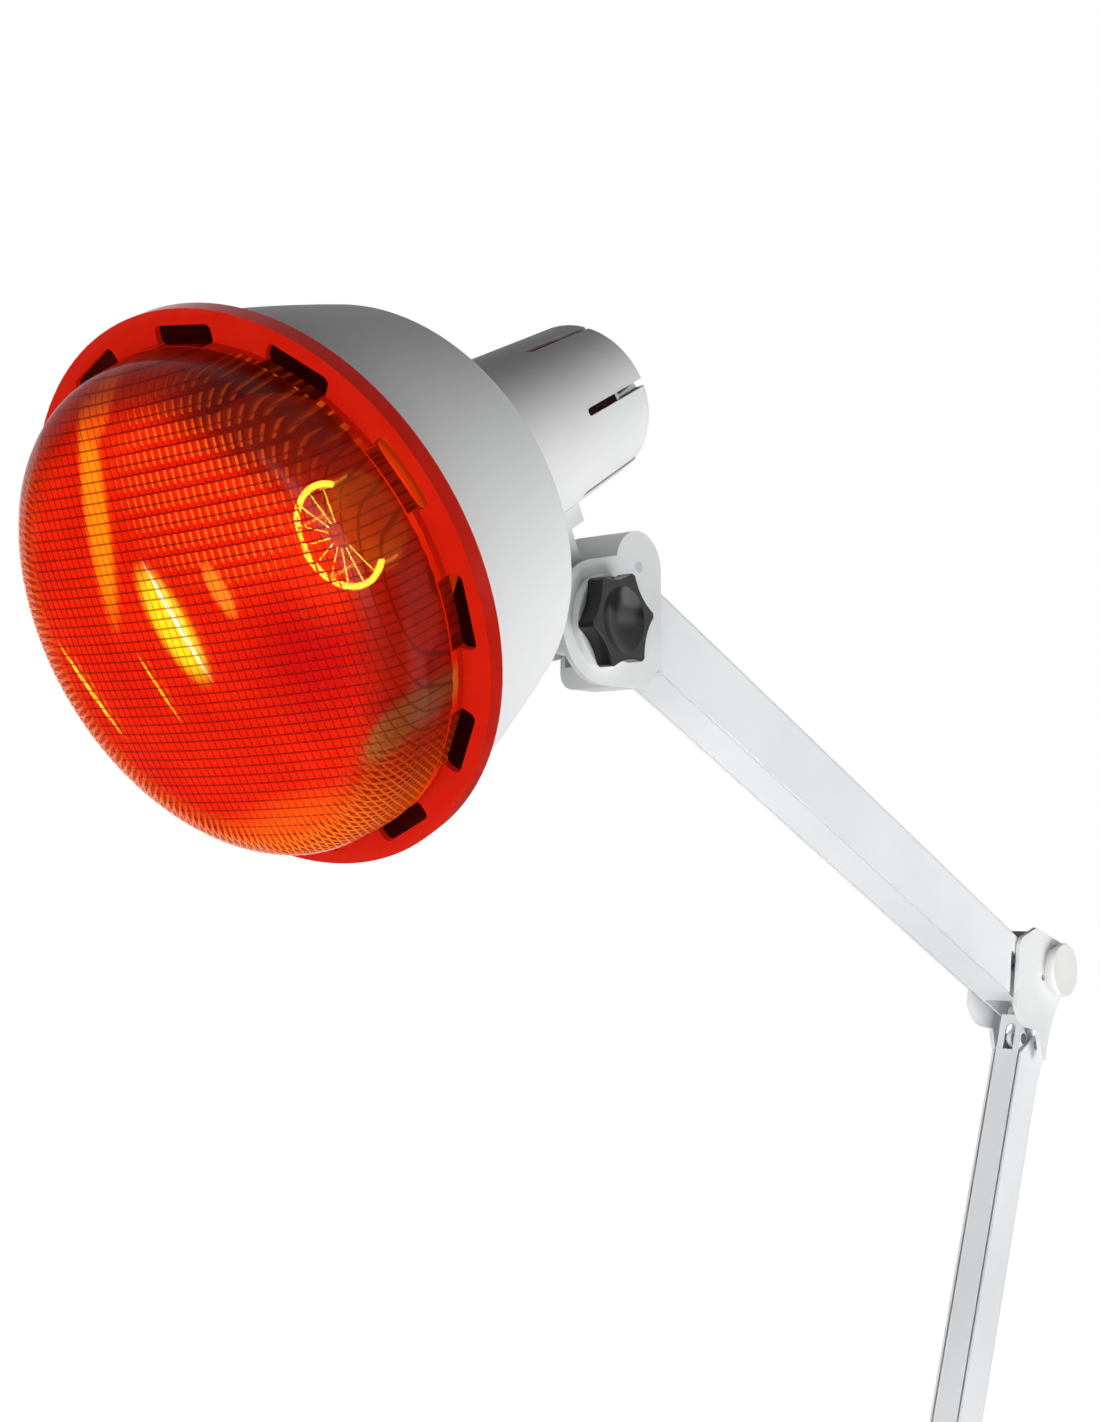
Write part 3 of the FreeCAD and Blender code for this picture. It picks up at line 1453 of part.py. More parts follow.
BASE_LINK = ("-base_pivot_back + low_link_x", "base_pivot_height + low_link_z")
BASE_ARM = ("-base_pivot_back", "base_pivot_height")


def base_block():
    """Turned shoulder and block with the lug on which the lower arm stands."""
    body = new_body("base_block")
    half = "block_length/2"
    low = "shoulder_disc_height"
    high = "shoulder_disc_height + block_height"
    block = [
        ("-%s" % half, low),
        (half, low),
        (half, high + " - 7"),
        (half + " - 7", high),
        ("-%s + 7" % half, high),
        ("-" + half, high + " - 7"),
    ]
    pad(body, block, "2*block_half")
    stem = [
        ("-base_pivot_back - 8", high + " - 3"),
        ("-base_pivot_back + 20", high + " - 3"),
        on_ring(BASE_LINK, "link_lug_radius", "-20") + ("link_lug_radius", 1),
        on_ring(BASE_LINK, "link_lug_radius", "100"),
        on_ring(BASE_ARM, "lug_radius", "100") + ("lug_radius", 1),
        on_ring(BASE_ARM, "lug_radius", "180"),
    ]
    pad(body, stem, "2*spine_half")
    sketch = new_sketch(body, "XY_Plane", lift="shoulder_disc_height/2")
    circle(sketch, "0", "0", "shoulder_disc_radius")
    foot = body.newObject("PartDesign::Pad", body.Name + "Foot")
    foot.Profile = sketch
    foot.SideType = "Symmetric"
    bind(foot, Length="shoulder_disc_height")
    pocket(body, "2*spigot_socket", holes=[("0", "0", "tang_radius + press_play")],
           plane="XY_Plane")
    pocket(body, "4*block_half", holes=[
        BASE_ARM + ("pin_radius + press_play",), BASE_LINK + ("pin_radius + press_play",)])
    return keep(body, "base_block", "base")


def spigot_pin():
    """Steel pin pressed into the block; its lower end drops into a stand."""
    body = new_body("spigot_pin")
    sketch = new_sketch(body, "XZ_Plane")
    outline(sketch, [
        ("0", "spigot_socket"),
        ("0", "-spigot_length"),
        ("spigot_radius - spigot_chamfer", "-spigot_length"),
        ("spigot_radius", "-spigot_length + spigot_chamfer"),
        ("spigot_radius", "0"),
        ("tang_radius", "0"),
        ("tang_radius", "spigot_socket"),
    ])
    turned = body.newObject("PartDesign::Revolution", body.Name + "Revolution")
    turned.Profile = sketch
    turned.ReferenceAxis = (sketch, ["V_Axis"])
    turned.Angle = 360
    return keep(body, "spigot_pin", "base")


# ---------------------------------------------------------------- assembly

red_filter()
hood()
rear_housing()
bulb_glass()
bulb_cap()
filament()
filament_stem()
filament_supports()
lampholder()
holder_sleeve()
holder_contact()
holder_plate()
plate_screws()
housing_screws()
housing_nuts()
cable_grommet()
head_bracket()
saddle_screws()
knuckle()
tilt_washers()
tilt_bolt()
star_knob()
knob_insert()
cross_pin("knuckle_arm_pin", "knuckle", *EAR_AT, "pin_radius", "cheek_outer")
cross_pin("knuckle_link_pin", "knuckle", *LINK_AT, "pin_radius", "upper_link_half + pin_reach")
upper_channel()
upper_link()
cross_pin("upper_post", "upper", *UPPER_POST, "post_radius", "upper_half - channel_wall")
cross_pin("upper_link_post", "upper", *UPPER_LINK_POST, "post_radius",
          "upper_link_half - link_wall")
spring("upper_spring", "upper", UPPER_LINK_POST, UPPER_POST)
elbow_bracket()
elbow_cap()
elbow_pin()
cross_pin("elbow_link_pin", "elbow", *ELBOW_LINK, "pin_radius", "upper_link_half + pin_reach")
cross_pin("elbow_lower_pin", "elbow", *ELBOW_LOWER, "pin_radius", "lower_half + pin_reach")
cross_pin("elbow_lower_link_pin", "elbow", *ELBOW_LOWER_LINK, "pin_radius",
          "lower_link_half + 2*pin_reach")
lower_channel()
lower_link()
cross_pin("lower_post", "lower", *LOWER_POST, "post_radius", "lower_half - lower_wall")
cross_pin("lower_link_post", "lower", *LOWER_LINK_POST, "post_radius",
          "lower_link_half - link_wall")
spring("lower_spring", "lower", LOWER_LINK_POST, LOWER_POST)
base_block()
spigot_pin()
cross_pin("base_arm_pin", "base", *BASE_ARM, "pin_radius", "lower_half + pin_reach")
cross_pin("base_link_pin", "base", *BASE_LINK, "pin_radius", "lower_link_half + 2*pin_reach")
doc.recompute()

failed = [thing.Label for thing in doc.Objects
          if "Invalid" in thing.State or "Error" in thing.State]
for name, thing in NODES.items():
    if thing.Shape.isNull() or not thing.Shape.isValid() or not thing.Shape.Solids:
        failed.append(name)
if failed:
    raise RuntimeError("failed: " + ", ".join(failed))

os.makedirs("parts", exist_ok=True)
for name, thing in NODES.items():
    thing.Shape.exportStep("parts/%s.step" % name)
print("%d nodes" % len(NODES))
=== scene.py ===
import math

import bmesh
import bpy
from mathutils import Matrix, Vector


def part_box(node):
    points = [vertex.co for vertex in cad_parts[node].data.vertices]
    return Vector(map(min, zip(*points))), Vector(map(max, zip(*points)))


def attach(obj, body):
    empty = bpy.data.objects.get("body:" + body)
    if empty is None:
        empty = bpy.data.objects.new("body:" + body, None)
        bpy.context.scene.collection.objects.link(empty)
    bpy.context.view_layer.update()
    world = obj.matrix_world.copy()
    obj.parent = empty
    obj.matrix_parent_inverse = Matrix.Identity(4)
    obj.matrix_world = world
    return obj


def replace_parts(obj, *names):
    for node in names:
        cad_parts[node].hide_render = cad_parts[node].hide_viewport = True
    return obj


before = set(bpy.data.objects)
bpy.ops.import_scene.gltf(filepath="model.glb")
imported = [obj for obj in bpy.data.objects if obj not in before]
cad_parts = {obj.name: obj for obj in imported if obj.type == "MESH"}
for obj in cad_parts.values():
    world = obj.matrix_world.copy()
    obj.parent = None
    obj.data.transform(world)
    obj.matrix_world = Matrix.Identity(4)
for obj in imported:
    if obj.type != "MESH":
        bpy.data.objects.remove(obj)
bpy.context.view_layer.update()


# Spigot pin and the other bright steel: turned bar and pressed plate, zinc plated.
# The plating is a little cloudy, over a fine and even grain.

GRAIN_HEIGHT = 0.0002
GLOSS_SPREAD = 0.06


def screen(red, green, blue):
    """A colour as a paint chart gives it, 0 to 255, made linear by the sRGB curve."""
    def linear(value):
        value /= 255
        return value / 12.92 if value <= 0.04045 else ((value + 0.055) / 1.055) ** 2.4
    return (linear(red), linear(green), linear(blue), 1)


def feed(finish, socket, value):
    """Give a socket a value, or a link from another node."""
    if isinstance(value, bpy.types.NodeSocket):
        finish.node_tree.links.new(value, socket)
    else:
        socket.default_value = value


def add(finish, kind, settings=(), **sockets):
    """A new node, with its settings made and its sockets fed by name."""
    made = finish.node_tree.nodes.new("ShaderNode" + kind)
    for name, value in dict(settings).items():
        setattr(made, name, value)
    for name, value in sockets.items():
        feed(finish, made.inputs[name.replace("_", " ")], value)
    return made


def new_finish(name, **sockets):
    finish = bpy.data.materials.new(name)
    finish.use_nodes = True
    surface = finish.node_tree.nodes["Principled BSDF"]
    for socket, value in sockets.items():
        surface.inputs[socket.replace("_", " ")].default_value = value
    return finish, surface


def join(finish, source, surface, socket):
    finish.node_tree.links.new(source, surface.inputs[socket])


def over(finish, share, under, upper):
    """Lay one colour over another by a share from 0 to 1."""
    laid = add(finish, "Mix", {"data_type": "RGBA"})
    # for colours, socket 0 is the share, 6 and 7 are the colours, and output 2 is the result
    for socket, value in ((0, share), (6, under), (7, upper)):
        feed(finish, laid.inputs[socket], value)
    return laid.outputs[2]


def grained(name, dark, light, rough, grain, depth, cloud=18, **sockets):
    """A finish with a cloudy colour, an uneven gloss and a fine grain."""
    finish, surface = new_finish(name, **sockets)
    where = add(finish, "TexCoord").outputs["Object"]
    clouds = add(finish, "TexNoise", Vector=where, Scale=cloud, Detail=3.0)
    share = add(finish, "MapRange", Value=clouds.outputs[0], From_Min=0.35, From_Max=0.65)
    join(finish, over(finish, share.outputs[0], dark, light), surface, "Base Color")
    grains = add(finish, "TexNoise", Vector=where, Scale=1 / grain, Detail=2.0)
    gloss = add(finish, "MapRange", Value=grains.outputs[0], To_Min=rough - GLOSS_SPREAD,
                To_Max=rough + GLOSS_SPREAD)
    join(finish, gloss.outputs[0], surface, "Roughness")
    bump = add(finish, "Bump", Height=grains.outputs[0], Strength=depth, Distance=GRAIN_HEIGHT)
    join(finish, bump.outputs[0], surface, "Normal")
    return finish


def dress(finish, *nodes):
    for name in nodes:
        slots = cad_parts[name].data.materials
        for index in range(len(slots)):
            slots[index] = finish


steel = grained("zinc_plated_steel", screen(150, 152, 155), screen(196, 198, 200),
                0.3, 0.0006, 0.2, Metallic=1.0)
dress(steel, "spigot_pin", "base_arm_pin", "base_link_pin", "elbow_link_pin",
      "elbow_lower_pin", "elbow_lower_link_pin", "elbow_pin", "knuckle_arm_pin",
      "knuckle_link_pin", "lower_link_post", "lower_post", "upper_link_post", "upper_post",
      "tilt_bolt", "holder_plate", "plate_screws", "saddle_screws", "housing_screws",
      "housing_nuts")


# Base fork, elbow bracket, knuckle and head bracket: zinc castings under a thick
# white powder coat, with the slight orange peel that such a coat dries to.

casting = grained("powder_coat_on_casting", screen(226, 227, 228), screen(236, 237, 237),
                  0.46, 0.0011, 0.22, Specular_IOR_Level=0.25)
dress(casting, "base_block", "elbow_bracket", "knuckle", "head_bracket")


# Arms: two channels of folded sheet steel each, one nested in the mouth of the
# other, under a thinner and smoother white coat.

sheet = grained("white_coat_on_sheet", screen(229, 230, 232), screen(239, 240, 241),
                0.42, 0.0008, 0.12, cloud=9, Specular_IOR_Level=0.25)
dress(sheet, "lower_channel", "lower_link", "upper_channel", "upper_link")


# Balance springs: close-wound spring wire, one in each arm. One eye is on the
# arm's post; the other is on the link's post, and its leg draws in and out of the
# coil's open end, so that it follows the link as the arm turns.

SPRING_MEAN = 0.0043
SPRING_WIRE = 0.0007
SPRING_EYE = 0.00275
SPRING_LEG = 0.028
SPRING_DRAW = 0.008
SPRING_PITCH = 0.0015
SPRING_PLUG = 0.001
STEPS_A_TURN = 12

spring_steel = grained("oiled_spring_wire", screen(120, 122, 126), screen(164, 166, 170),
                       0.32, 0.0004, 0.15, cloud=60, Metallic=1.0)


def middle(node):
    low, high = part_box(node)
    return (Vector(low) + Vector(high)) / 2


def made_piece(shape, name, finish, place):
    """The object that a shape makes once it has been put in place."""
    bmesh.ops.transform(shape, matrix=place, verts=shape.verts[:])
    mesh = bpy.data.meshes.new(name)
    shape.to_mesh(mesh)
    shape.free()
    mesh.materials.append(finish)
    piece = bpy.data.objects.new(name, mesh)
    bpy.context.scene.collection.objects.link(piece)
    return piece


def spring_rod(shape, radius, first, last):
    """A round bar along the spring's line, from one place on it to another."""
    bmesh.ops.create_cone(shape, cap_ends=True, segments=16, radius1=radius, radius2=radius,
                          depth=abs(last - first),
                          matrix=Matrix.Translation((0, 0, (first + last) / 2)))


def post_eye(shape, eye, towards, reach):
    """A round eye for a post, and the straight leg that leaves it."""
    hook = bmesh.ops.create_circle(shape, segments=8, radius=SPRING_WIRE,
                                   matrix=Matrix.Translation((SPRING_EYE, 0, eye)))
    points = hook["verts"]
    edges = list({edge for point in points for edge in point.link_edges})
    bmesh.ops.spin(shape, geom=points + edges, cent=(0, 0, eye), axis=(0, 1, 0),
                   angle=math.tau, steps=24, use_merge=True)
    spring_rod(shape, SPRING_WIRE, eye + towards * SPRING_EYE, eye + towards * reach)


def spring_piece(shape, name, body, place):
    bmesh.ops.recalc_face_normals(shape, faces=shape.faces[:])
    piece = made_piece(shape, name, spring_steel, place)
    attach(piece, body)
    return piece


def balance_spring(arm):
    """The coil with the arm's eye, and the hook with the link's."""
    start, stop = middle(arm + "_link_post"), middle(arm + "_post")
    along = stop - start
    run = along.length
    wound = run - 2 * SPRING_LEG
    turns = int(wound / SPRING_PITCH)
    steps = turns * STEPS_A_TURN
    place = Matrix.Translation(start) @ Matrix.Rotation(math.atan2(along.x, along.z), 4, "Y")
    coil = bmesh.new()
    bmesh.ops.create_circle(coil, segments=6, radius=SPRING_WIRE, matrix=Matrix.Translation(
        (SPRING_MEAN, 0, SPRING_LEG)) @ Matrix.Rotation(math.pi / 2, 4, "X"))
    bmesh.ops.spin(coil, geom=coil.verts[:] + coil.edges[:], cent=(0, 0, 0), axis=(0, 0, 1),
                   dvec=(0, 0, wound / steps), angle=math.tau * turns, steps=steps)
    bmesh.ops.holes_fill(coil, edges=[edge for edge in coil.edges if edge.is_boundary],
                         sides=6)
    post_eye(coil, run, -1, SPRING_LEG)
    spring_rod(coil, SPRING_MEAN + SPRING_WIRE, run - SPRING_LEG + SPRING_PLUG,
               run - SPRING_LEG)
    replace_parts(spring_piece(coil, arm + "_spring_coil", arm + "_arm", place), arm + "_spring")
    hook = bmesh.new()
    post_eye(hook, 0.0, 1, SPRING_LEG + SPRING_DRAW)
    spring_piece(hook, arm + "_spring_hook", arm + "_link", place)


dress(spring_steel, "lower_spring", "upper_spring")
balance_spring("lower")
balance_spring("upper")


# Elbow cap: a moulded disc of white plastic pressed over the rivet's end, a
# little glossier than the paint beside it.

cap = grained("moulded_white_plastic", screen(228, 228, 227), screen(236, 236, 234),
              0.3, 0.0006, 0.02, cloud=30)
dress(cap, "elbow_cap")


# Friction washers: red-brown vulcanised fibre, dull and mottled, between the
# head bracket's tongue and the knuckle's cheeks.

fibre = grained("vulcanised_fibre", screen(92, 44, 30), screen(122, 62, 42), 0.7, 0.0005, 0.3,
                cloud=300)
dress(fibre, "tilt_washers")


# Star knob: black moulded plastic with a polished face and dish. The insert in
# its foot is brass, and so are the bulb's cap and the holder's metal.

knob_black = grained("polished_black_plastic", screen(14, 14, 15), screen(23, 23, 24),
                     0.24, 0.0009, 0.05, cloud=60, Specular_IOR_Level=0.32)
dress(knob_black, "star_knob")
brass = grained("turned_brass", screen(176, 138, 62), screen(208, 172, 92), 0.28, 0.0005, 0.12,
                Metallic=1.0)
dress(brass, "knob_insert", "bulb_cap", "holder_contact", "holder_sleeve")


# Hood and rear housing: drawn steel under a satin white coat. The inside of the
# hood is given painted shade, with a little painted red light from the lamp.

HEAD_AT = Vector((0.434848, 0, 0.615215))
HEAD_TILT = math.radians(27.8)
HOUSING_RISE = 0.0045


def in_head(finish, rise=0.0):
    """Where a point lies seen from the head: x along the beam, z up the lamp."""
    place = HEAD_AT + Matrix.Rotation(HEAD_TILT, 3, "Y") @ Vector((0, 0, rise))
    where = add(finish, "TexCoord").outputs["Object"]
    return add(finish, "Mapping", {"vector_type": "TEXTURE"}, Vector=where, Location=place,
               Rotation=(0, HEAD_TILT, 0)).outputs[0]


def arithmetic(finish, kind, operation, values):
    """The outputs of an arithmetic node, its sockets fed in their order."""
    made = add(finish, kind, {"operation": operation})
    for socket, value in zip(made.inputs, values):
        feed(finish, socket, value)
    return made.outputs


def math_of(finish, operation, *values):
    return arithmetic(finish, "Math", operation, values)[0]


def vector_of(finish, operation, *values):
    return arithmetic(finish, "VectorMath", operation, values)["Vector"]


def number_of(finish, operation, *values):
    """Vector arithmetic that comes to one number: a length or a dot product."""
    return arithmetic(finish, "VectorMath", operation, values)["Value"]


def satin_white(name):
    return grained(name, screen(238, 239, 239), screen(246, 246, 246), 0.5, 0.0009, 0.1,
                   cloud=7, Specular_IOR_Level=0.12)


dress(satin_white("satin_white_shade"), "rear_housing")

hood_with_painted_shade = satin_white("satin_white_shade_painted_dark_inside")
surface = hood_with_painted_shade.node_tree.nodes["Principled BSDF"]
outside = surface.inputs["Base Color"].links[0].from_socket
facing = add(hood_with_painted_shade, "Mapping", {"vector_type": "VECTOR"},
             Vector=add(hood_with_painted_shade, "TexCoord").outputs["Normal"], Rotation=(0, -HEAD_TILT, 0))
# the inside faces the axis or the mouth: against the outward spoke, or along the beam
spoke = vector_of(hood_with_painted_shade, "NORMALIZE", vector_of(hood_with_painted_shade, "MULTIPLY", in_head(hood_with_painted_shade), (0, 1, 1)))
away = vector_of(hood_with_painted_shade, "SUBTRACT", spoke, (1, 0, 0))
inside = math_of(hood_with_painted_shade, "LESS_THAN",
                 number_of(hood_with_painted_shade, "DOT_PRODUCT", facing.outputs[0], away), 0.0)
# painted shade with a little painted red light, on the faces inside the hood
join(hood_with_painted_shade, over(hood_with_painted_shade, inside, outside, screen(62, 12, 9)), surface, "Base Color")
dress(hood_with_painted_shade, "hood")


# Lampholder of glazed ceramic, and the rubber gland where a lead would enter.
# The glaze is smooth and creamy; the rubber is dull.

ceramic = grained("glazed_ceramic", screen(224, 219, 206), screen(236, 232, 221), 0.25, 0.002,
                  0.08, cloud=40)
dress(ceramic, "lampholder")
rubber = grained("black_rubber", screen(26, 26, 26), screen(38, 38, 38), 0.75, 0.0006, 0.25)
dress(rubber, "cable_grommet")


# Reflector bulb: red glass in front, silvered behind its widest ring, where the
# light of the filament gathers in rings round the neck.

BULB_WIDE_AT = -0.036
BULB_RINGS = 1400.0


def reach_of(finish, across, up):
    """How far a point lies from the head's axis."""
    return math_of(finish, "SQRT", math_of(finish, "ADD",
                                           math_of(finish, "MULTIPLY", across, across),
                                           math_of(finish, "MULTIPLY", up, up)))


def lit(finish, surface, colour, strength):
    """One colour for what a surface reflects and for the light it gives."""
    join(finish, colour, surface, "Base Color")
    join(finish, colour, surface, "Emission Color")
    surface.inputs["Emission Strength"].default_value = strength


bulb, surface = new_finish("red_bulb_glass", Roughness=0.12, Specular_IOR_Level=0.2)
parts = add(bulb, "SeparateXYZ", Vector=in_head(bulb, HOUSING_RISE)).outputs
reach = reach_of(bulb, parts["Y"], parts["Z"])
# painted reflections of the filament: dark rings round the axis, laid over the glow
rings = math_of(bulb, "SINE", math_of(bulb, "MULTIPLY", reach, BULB_RINGS))
ringed = add(bulb, "MapRange", Value=rings, From_Min=-1.0, To_Max=0.45)
# a painted glow, brighter towards the rim, which the glass also gives off as light
painted_glow_share = add(bulb, "MapRange", Value=reach, From_Min=0.02, From_Max=0.062)
glow = over(bulb, painted_glow_share.outputs[0], screen(140, 8, 4), screen(236, 62, 8))
glow = over(bulb, ringed.outputs[0], glow, screen(100, 6, 4))
lit(bulb, surface, glow, 0.7)
silvered = math_of(bulb, "LESS_THAN", parts["X"], BULB_WIDE_AT)
clear = add(bulb, "MapRange", Value=silvered, To_Min=0.25, To_Max=1.0)
join(bulb, clear.outputs[0], surface, "Alpha")
dress(bulb, "bulb_glass")

stem = grained("clear_stem_glass", screen(214, 150, 110), screen(230, 170, 130), 0.1, 0.003, 0.02,
               Alpha=0.35)
dress(stem, "filament_stem")


# Filament: a coiled tungsten wire bent to an open ring on four posts, near
# white where its turns lie close and yellow between them. Finer wires run in
# from the ring to the stem.

FILAMENT_AT = Vector((-0.054, 0, HOUSING_RISE))
FILAMENT_RING = 0.021
FILAMENT_WIRE = 0.0013
FILAMENT_START = math.radians(-15)
FILAMENT_SWEEP = math.radians(250)
FINE_WIRE = 0.00022
FINE_WIRE_SET_BACK = -0.0002
FINE_WIRE_MIDDLE = 0.62
FINE_WIRE_LENGTH = 0.72

wire, surface = new_finish("glowing_tungsten", Roughness=0.4)
coils = add(wire, "TexWave", Vector=in_head(wire, HOUSING_RISE), Scale=420.0, Distortion=2.0)
light = over(wire, coils.outputs["Fac"], screen(255, 196, 10), screen(255, 238, 80))
lit(wire, surface, light, 40.0)


def head_piece(shape, name, finish):
    """Put a shape drawn about the head's origin in place, as a piece of the head."""
    place = Matrix.Translation(HEAD_AT) @ Matrix.Rotation(HEAD_TILT, 4, "Y")
    piece = made_piece(shape, name, finish, place)
    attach(piece, "head")
    return piece


ring = bmesh.new()
bmesh.ops.create_circle(ring, segments=10, radius=FILAMENT_WIRE, matrix=Matrix.Translation(
    (0, 0, FILAMENT_RING)) @ Matrix.Rotation(math.pi / 2, 4, "X"))
bmesh.ops.rotate(ring, cent=(0, 0, 0), matrix=Matrix.Rotation(FILAMENT_START, 3, "X"),
                 verts=ring.verts[:])
bmesh.ops.spin(ring, geom=ring.verts[:] + ring.edges[:], cent=(0, 0, 0), axis=(1, 0, 0),
               angle=FILAMENT_SWEEP, steps=72)
bmesh.ops.holes_fill(ring, edges=[edge for edge in ring.edges if edge.is_boundary], sides=10)
# a fine wire every 24 degrees of the ring's sweep
for turn in range(0, 240, 24):
    lies_at = Matrix.Rotation(math.radians(turn), 4, "X") @ Matrix.Translation(
        (FINE_WIRE_SET_BACK, 0, FILAMENT_RING * FINE_WIRE_MIDDLE))
    bmesh.ops.create_cone(ring, cap_ends=True, segments=6, radius1=FINE_WIRE,
                          radius2=FINE_WIRE, depth=FILAMENT_RING * FINE_WIRE_LENGTH,
                          matrix=lies_at)
bmesh.ops.recalc_face_normals(ring, faces=ring.faces[:])
bmesh.ops.translate(ring, vec=FILAMENT_AT, verts=ring.verts[:])
coil = head_piece(ring, "filament_coil", wire)
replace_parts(coil, "filament")
dress(wire, "filament", "filament_supports")


# Support posts: four stiff wires that stand on the disc of the stem, just inside
# the ring, and hold it.

POST_RADIUS = 0.0006
STEM_DISC_AT = -0.068

# the posts carry a painted glow of orange and yellow, given off as light
post, surface = new_finish("support_wire_painted_glow", Roughness=0.4)
glow_mottle = add(post, "TexNoise", Vector=in_head(post), Scale=160.0)
light = over(post, glow_mottle.outputs[0], screen(255, 140, 20), screen(255, 220, 90))
lit(post, surface, light, 9.0)

posts = bmesh.new()
tall = FILAMENT_AT.x + FILAMENT_WIRE - STEM_DISC_AT
for turn in (0, 73, 146, 219):
    stand_at = (Matrix.Translation((STEM_DISC_AT + tall / 2, 0, HOUSING_RISE))
                @ Matrix.Rotation(math.radians(turn), 4, "X")
                @ Matrix.Translation((0, 0, FILAMENT_RING - FILAMENT_WIRE - POST_RADIUS))
                @ Matrix.Rotation(math.pi / 2, 4, "Y"))
    bmesh.ops.create_cone(posts, cap_ends=True, segments=12, radius1=POST_RADIUS,
                          radius2=POST_RADIUS, depth=tall, matrix=stand_at)
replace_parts(head_piece(posts, "filament_posts", post), "filament_supports")


# Red filter: heat-proof plastic, pressed in one with its flange. Light gathers
# in streaks and patches in its front, and a fine mesh darkens it all over.

MESH_PITCH = 0.0037
DASH_PITCH = 0.0074
FRONT_RADIUS = 0.0965
FLANGE_FROM = 0.0968
WALL_RADIUS = 0.095

red, surface = new_finish("pressed_red_filter", Roughness=0.2, Specular_IOR_Level=0.05)
seen = in_head(red)
parts = add(red, "SeparateXYZ", Vector=seen).outputs
ahead, across, up = (parts[axis] for axis in "XYZ")
reach = reach_of(red, across, up)


def patch(centre, size, lean, soft):
    """An oval share on the front, in millimetres and degrees: 1 inside, 0 at its edge."""
    oval = add(red, "Mapping", {"vector_type": "TEXTURE"}, Vector=seen,
               Location=(0, centre[0] / 1000, centre[1] / 1000),
               Rotation=(math.radians(lean), 0, 0),
               Scale=(1000, size[0] / 1000, size[1] / 1000))
    return add(red, "MapRange", {"interpolation_type": "SMOOTHSTEP"},
               Value=number_of(red, "LENGTH", oval.outputs[0]), From_Min=1.0 - soft,
               From_Max=1.0, To_Min=1.0, To_Max=0.0).outputs[0]


def stripes(value, pitch, share):
    """1 on a line of that share of the pitch, 0 between the lines."""
    turn = math_of(red, "FRACT", math_of(red, "DIVIDE", value, pitch))
    return math_of(red, "LESS_THAN", turn, share)


clouds = add(red, "TexNoise", Vector=seen, Scale=38.0, Detail=3.0)
light = over(red, clouds.outputs[0], screen(176, 9, 2), screen(216, 34, 5))
# painted shade in the upper zone, with upright dashes of painted orange light in it
dashes = math_of(red, "MULTIPLY", stripes(across, MESH_PITCH, 0.42),
                 math_of(red, "SUBTRACT", 1.0, stripes(up, DASH_PITCH, 0.3)))
light = over(red, patch((62, 70), (48, 26), -30, 0.8), light, screen(84, 6, 4))
light = over(red, math_of(red, "MULTIPLY", dashes, patch((38, 52), (52, 44), 0, 0.4)),
             light, screen(238, 84, 20))
for centre, size, lean, soft, colour in (
        # painted reflections: the dark disc low on the right, the brighter foot below it, the tan
        # crescent
        ((58, -14), (42, 36), 0, 0.85, (166, 3, 3)),
        ((24, -78), (60, 18), 8, 0.8, (246, 74, 10)),
        ((77, -44), (25, 7), 36, 0.6, (164, 92, 42)),
        # the painted glow round the filament
        ((84, 26), (30, 36), -30, 1.0, (242, 46, 6)),
        # bright painted reflections of the filament
        ((-22, 48), (8, 50), -14, 0.5, (255, 122, 12)),
        ((-6, 84), (7, 19), -40, 0.5, (236, 84, 10)),
        ((-1, 5), (11, 27), 16, 0.5, (255, 196, 26)),
        ((2, 6), (1.6, 27), 16, 0.5, (255, 250, 190)),
        ((28, 15), (5, 13), 16, 0.5, (255, 118, 26)),
        ((-21, -18), (1.0, 17), 18, 0.5, (255, 176, 30)),
        ((-64, -18), (1.6, 25), 24, 0.5, (255, 200, 40))):
    light = over(red, patch(centre, size, lean, soft), light, screen(*colour))
# the mesh: two sets of dark lines over the front; a finer mesh on the shoulder is painted as
# highlights
lines = math_of(red, "MAXIMUM", stripes(across, MESH_PITCH, 0.14),
                stripes(up, MESH_PITCH, 0.2))
within = math_of(red, "LESS_THAN", reach, FRONT_RADIUS)
light = over(red, math_of(red, "MULTIPLY", math_of(red, "MULTIPLY", lines, within), 0.7),
             light, screen(70, 4, 2))
# painted shade darkening the front towards its rim, on the shoulder
rim_share = add(red, "MapRange", {"interpolation_type": "SMOOTHSTEP"}, Value=reach,
                From_Min=0.072, From_Max=0.09)
shoulder = math_of(red, "MULTIPLY", rim_share.outputs[0], within)
light = over(red, math_of(red, "MULTIPLY", shoulder, 0.72), light, screen(66, 8, 3))
# a crossed mesh of painted highlights on the shoulder, low on the left only
round_it = math_of(red, "MULTIPLY", math_of(red, "ARCTAN2", up, across), WALL_RADIUS)
crossed = math_of(red, "MAXIMUM",
                  stripes(math_of(red, "ADD", round_it, ahead), MESH_PITCH, 0.3),
                  stripes(math_of(red, "SUBTRACT", round_it, ahead), MESH_PITCH, 0.3))
low_left = add(red, "MapRange", {"interpolation_type": "SMOOTHSTEP"},
               Value=math_of(red, "ADD", across, up), From_Min=-0.09, From_Max=0.05,
               To_Min=1.0, To_Max=0.0)
light = over(red, math_of(red, "MULTIPLY", math_of(red, "MULTIPLY", crossed, shoulder),
                          low_left.outputs[0]), light, screen(232, 110, 24))
# the flange is plain, and less clear than the front
flange = over(red, clouds.outputs[0], screen(150, 14, 4), screen(166, 24, 9))
on_flange = math_of(red, "GREATER_THAN", reach, FLANGE_FROM)
light = over(red, on_flange, light, flange)
# a painted glow: the filter's colour is also given off as light, for the lamp's light shining
# through it
lit(red, surface, light, 0.42)
cover = add(red, "MapRange", Value=on_flange, To_Min=0.76, To_Max=0.94)
join(red, cover.outputs[0], surface, "Alpha")
bumps = add(red, "Bump", Height=lines, Strength=0.25, Distance=0.0003)
join(red, bumps.outputs[0], surface, "Normal")
dress(red, "red_filter")


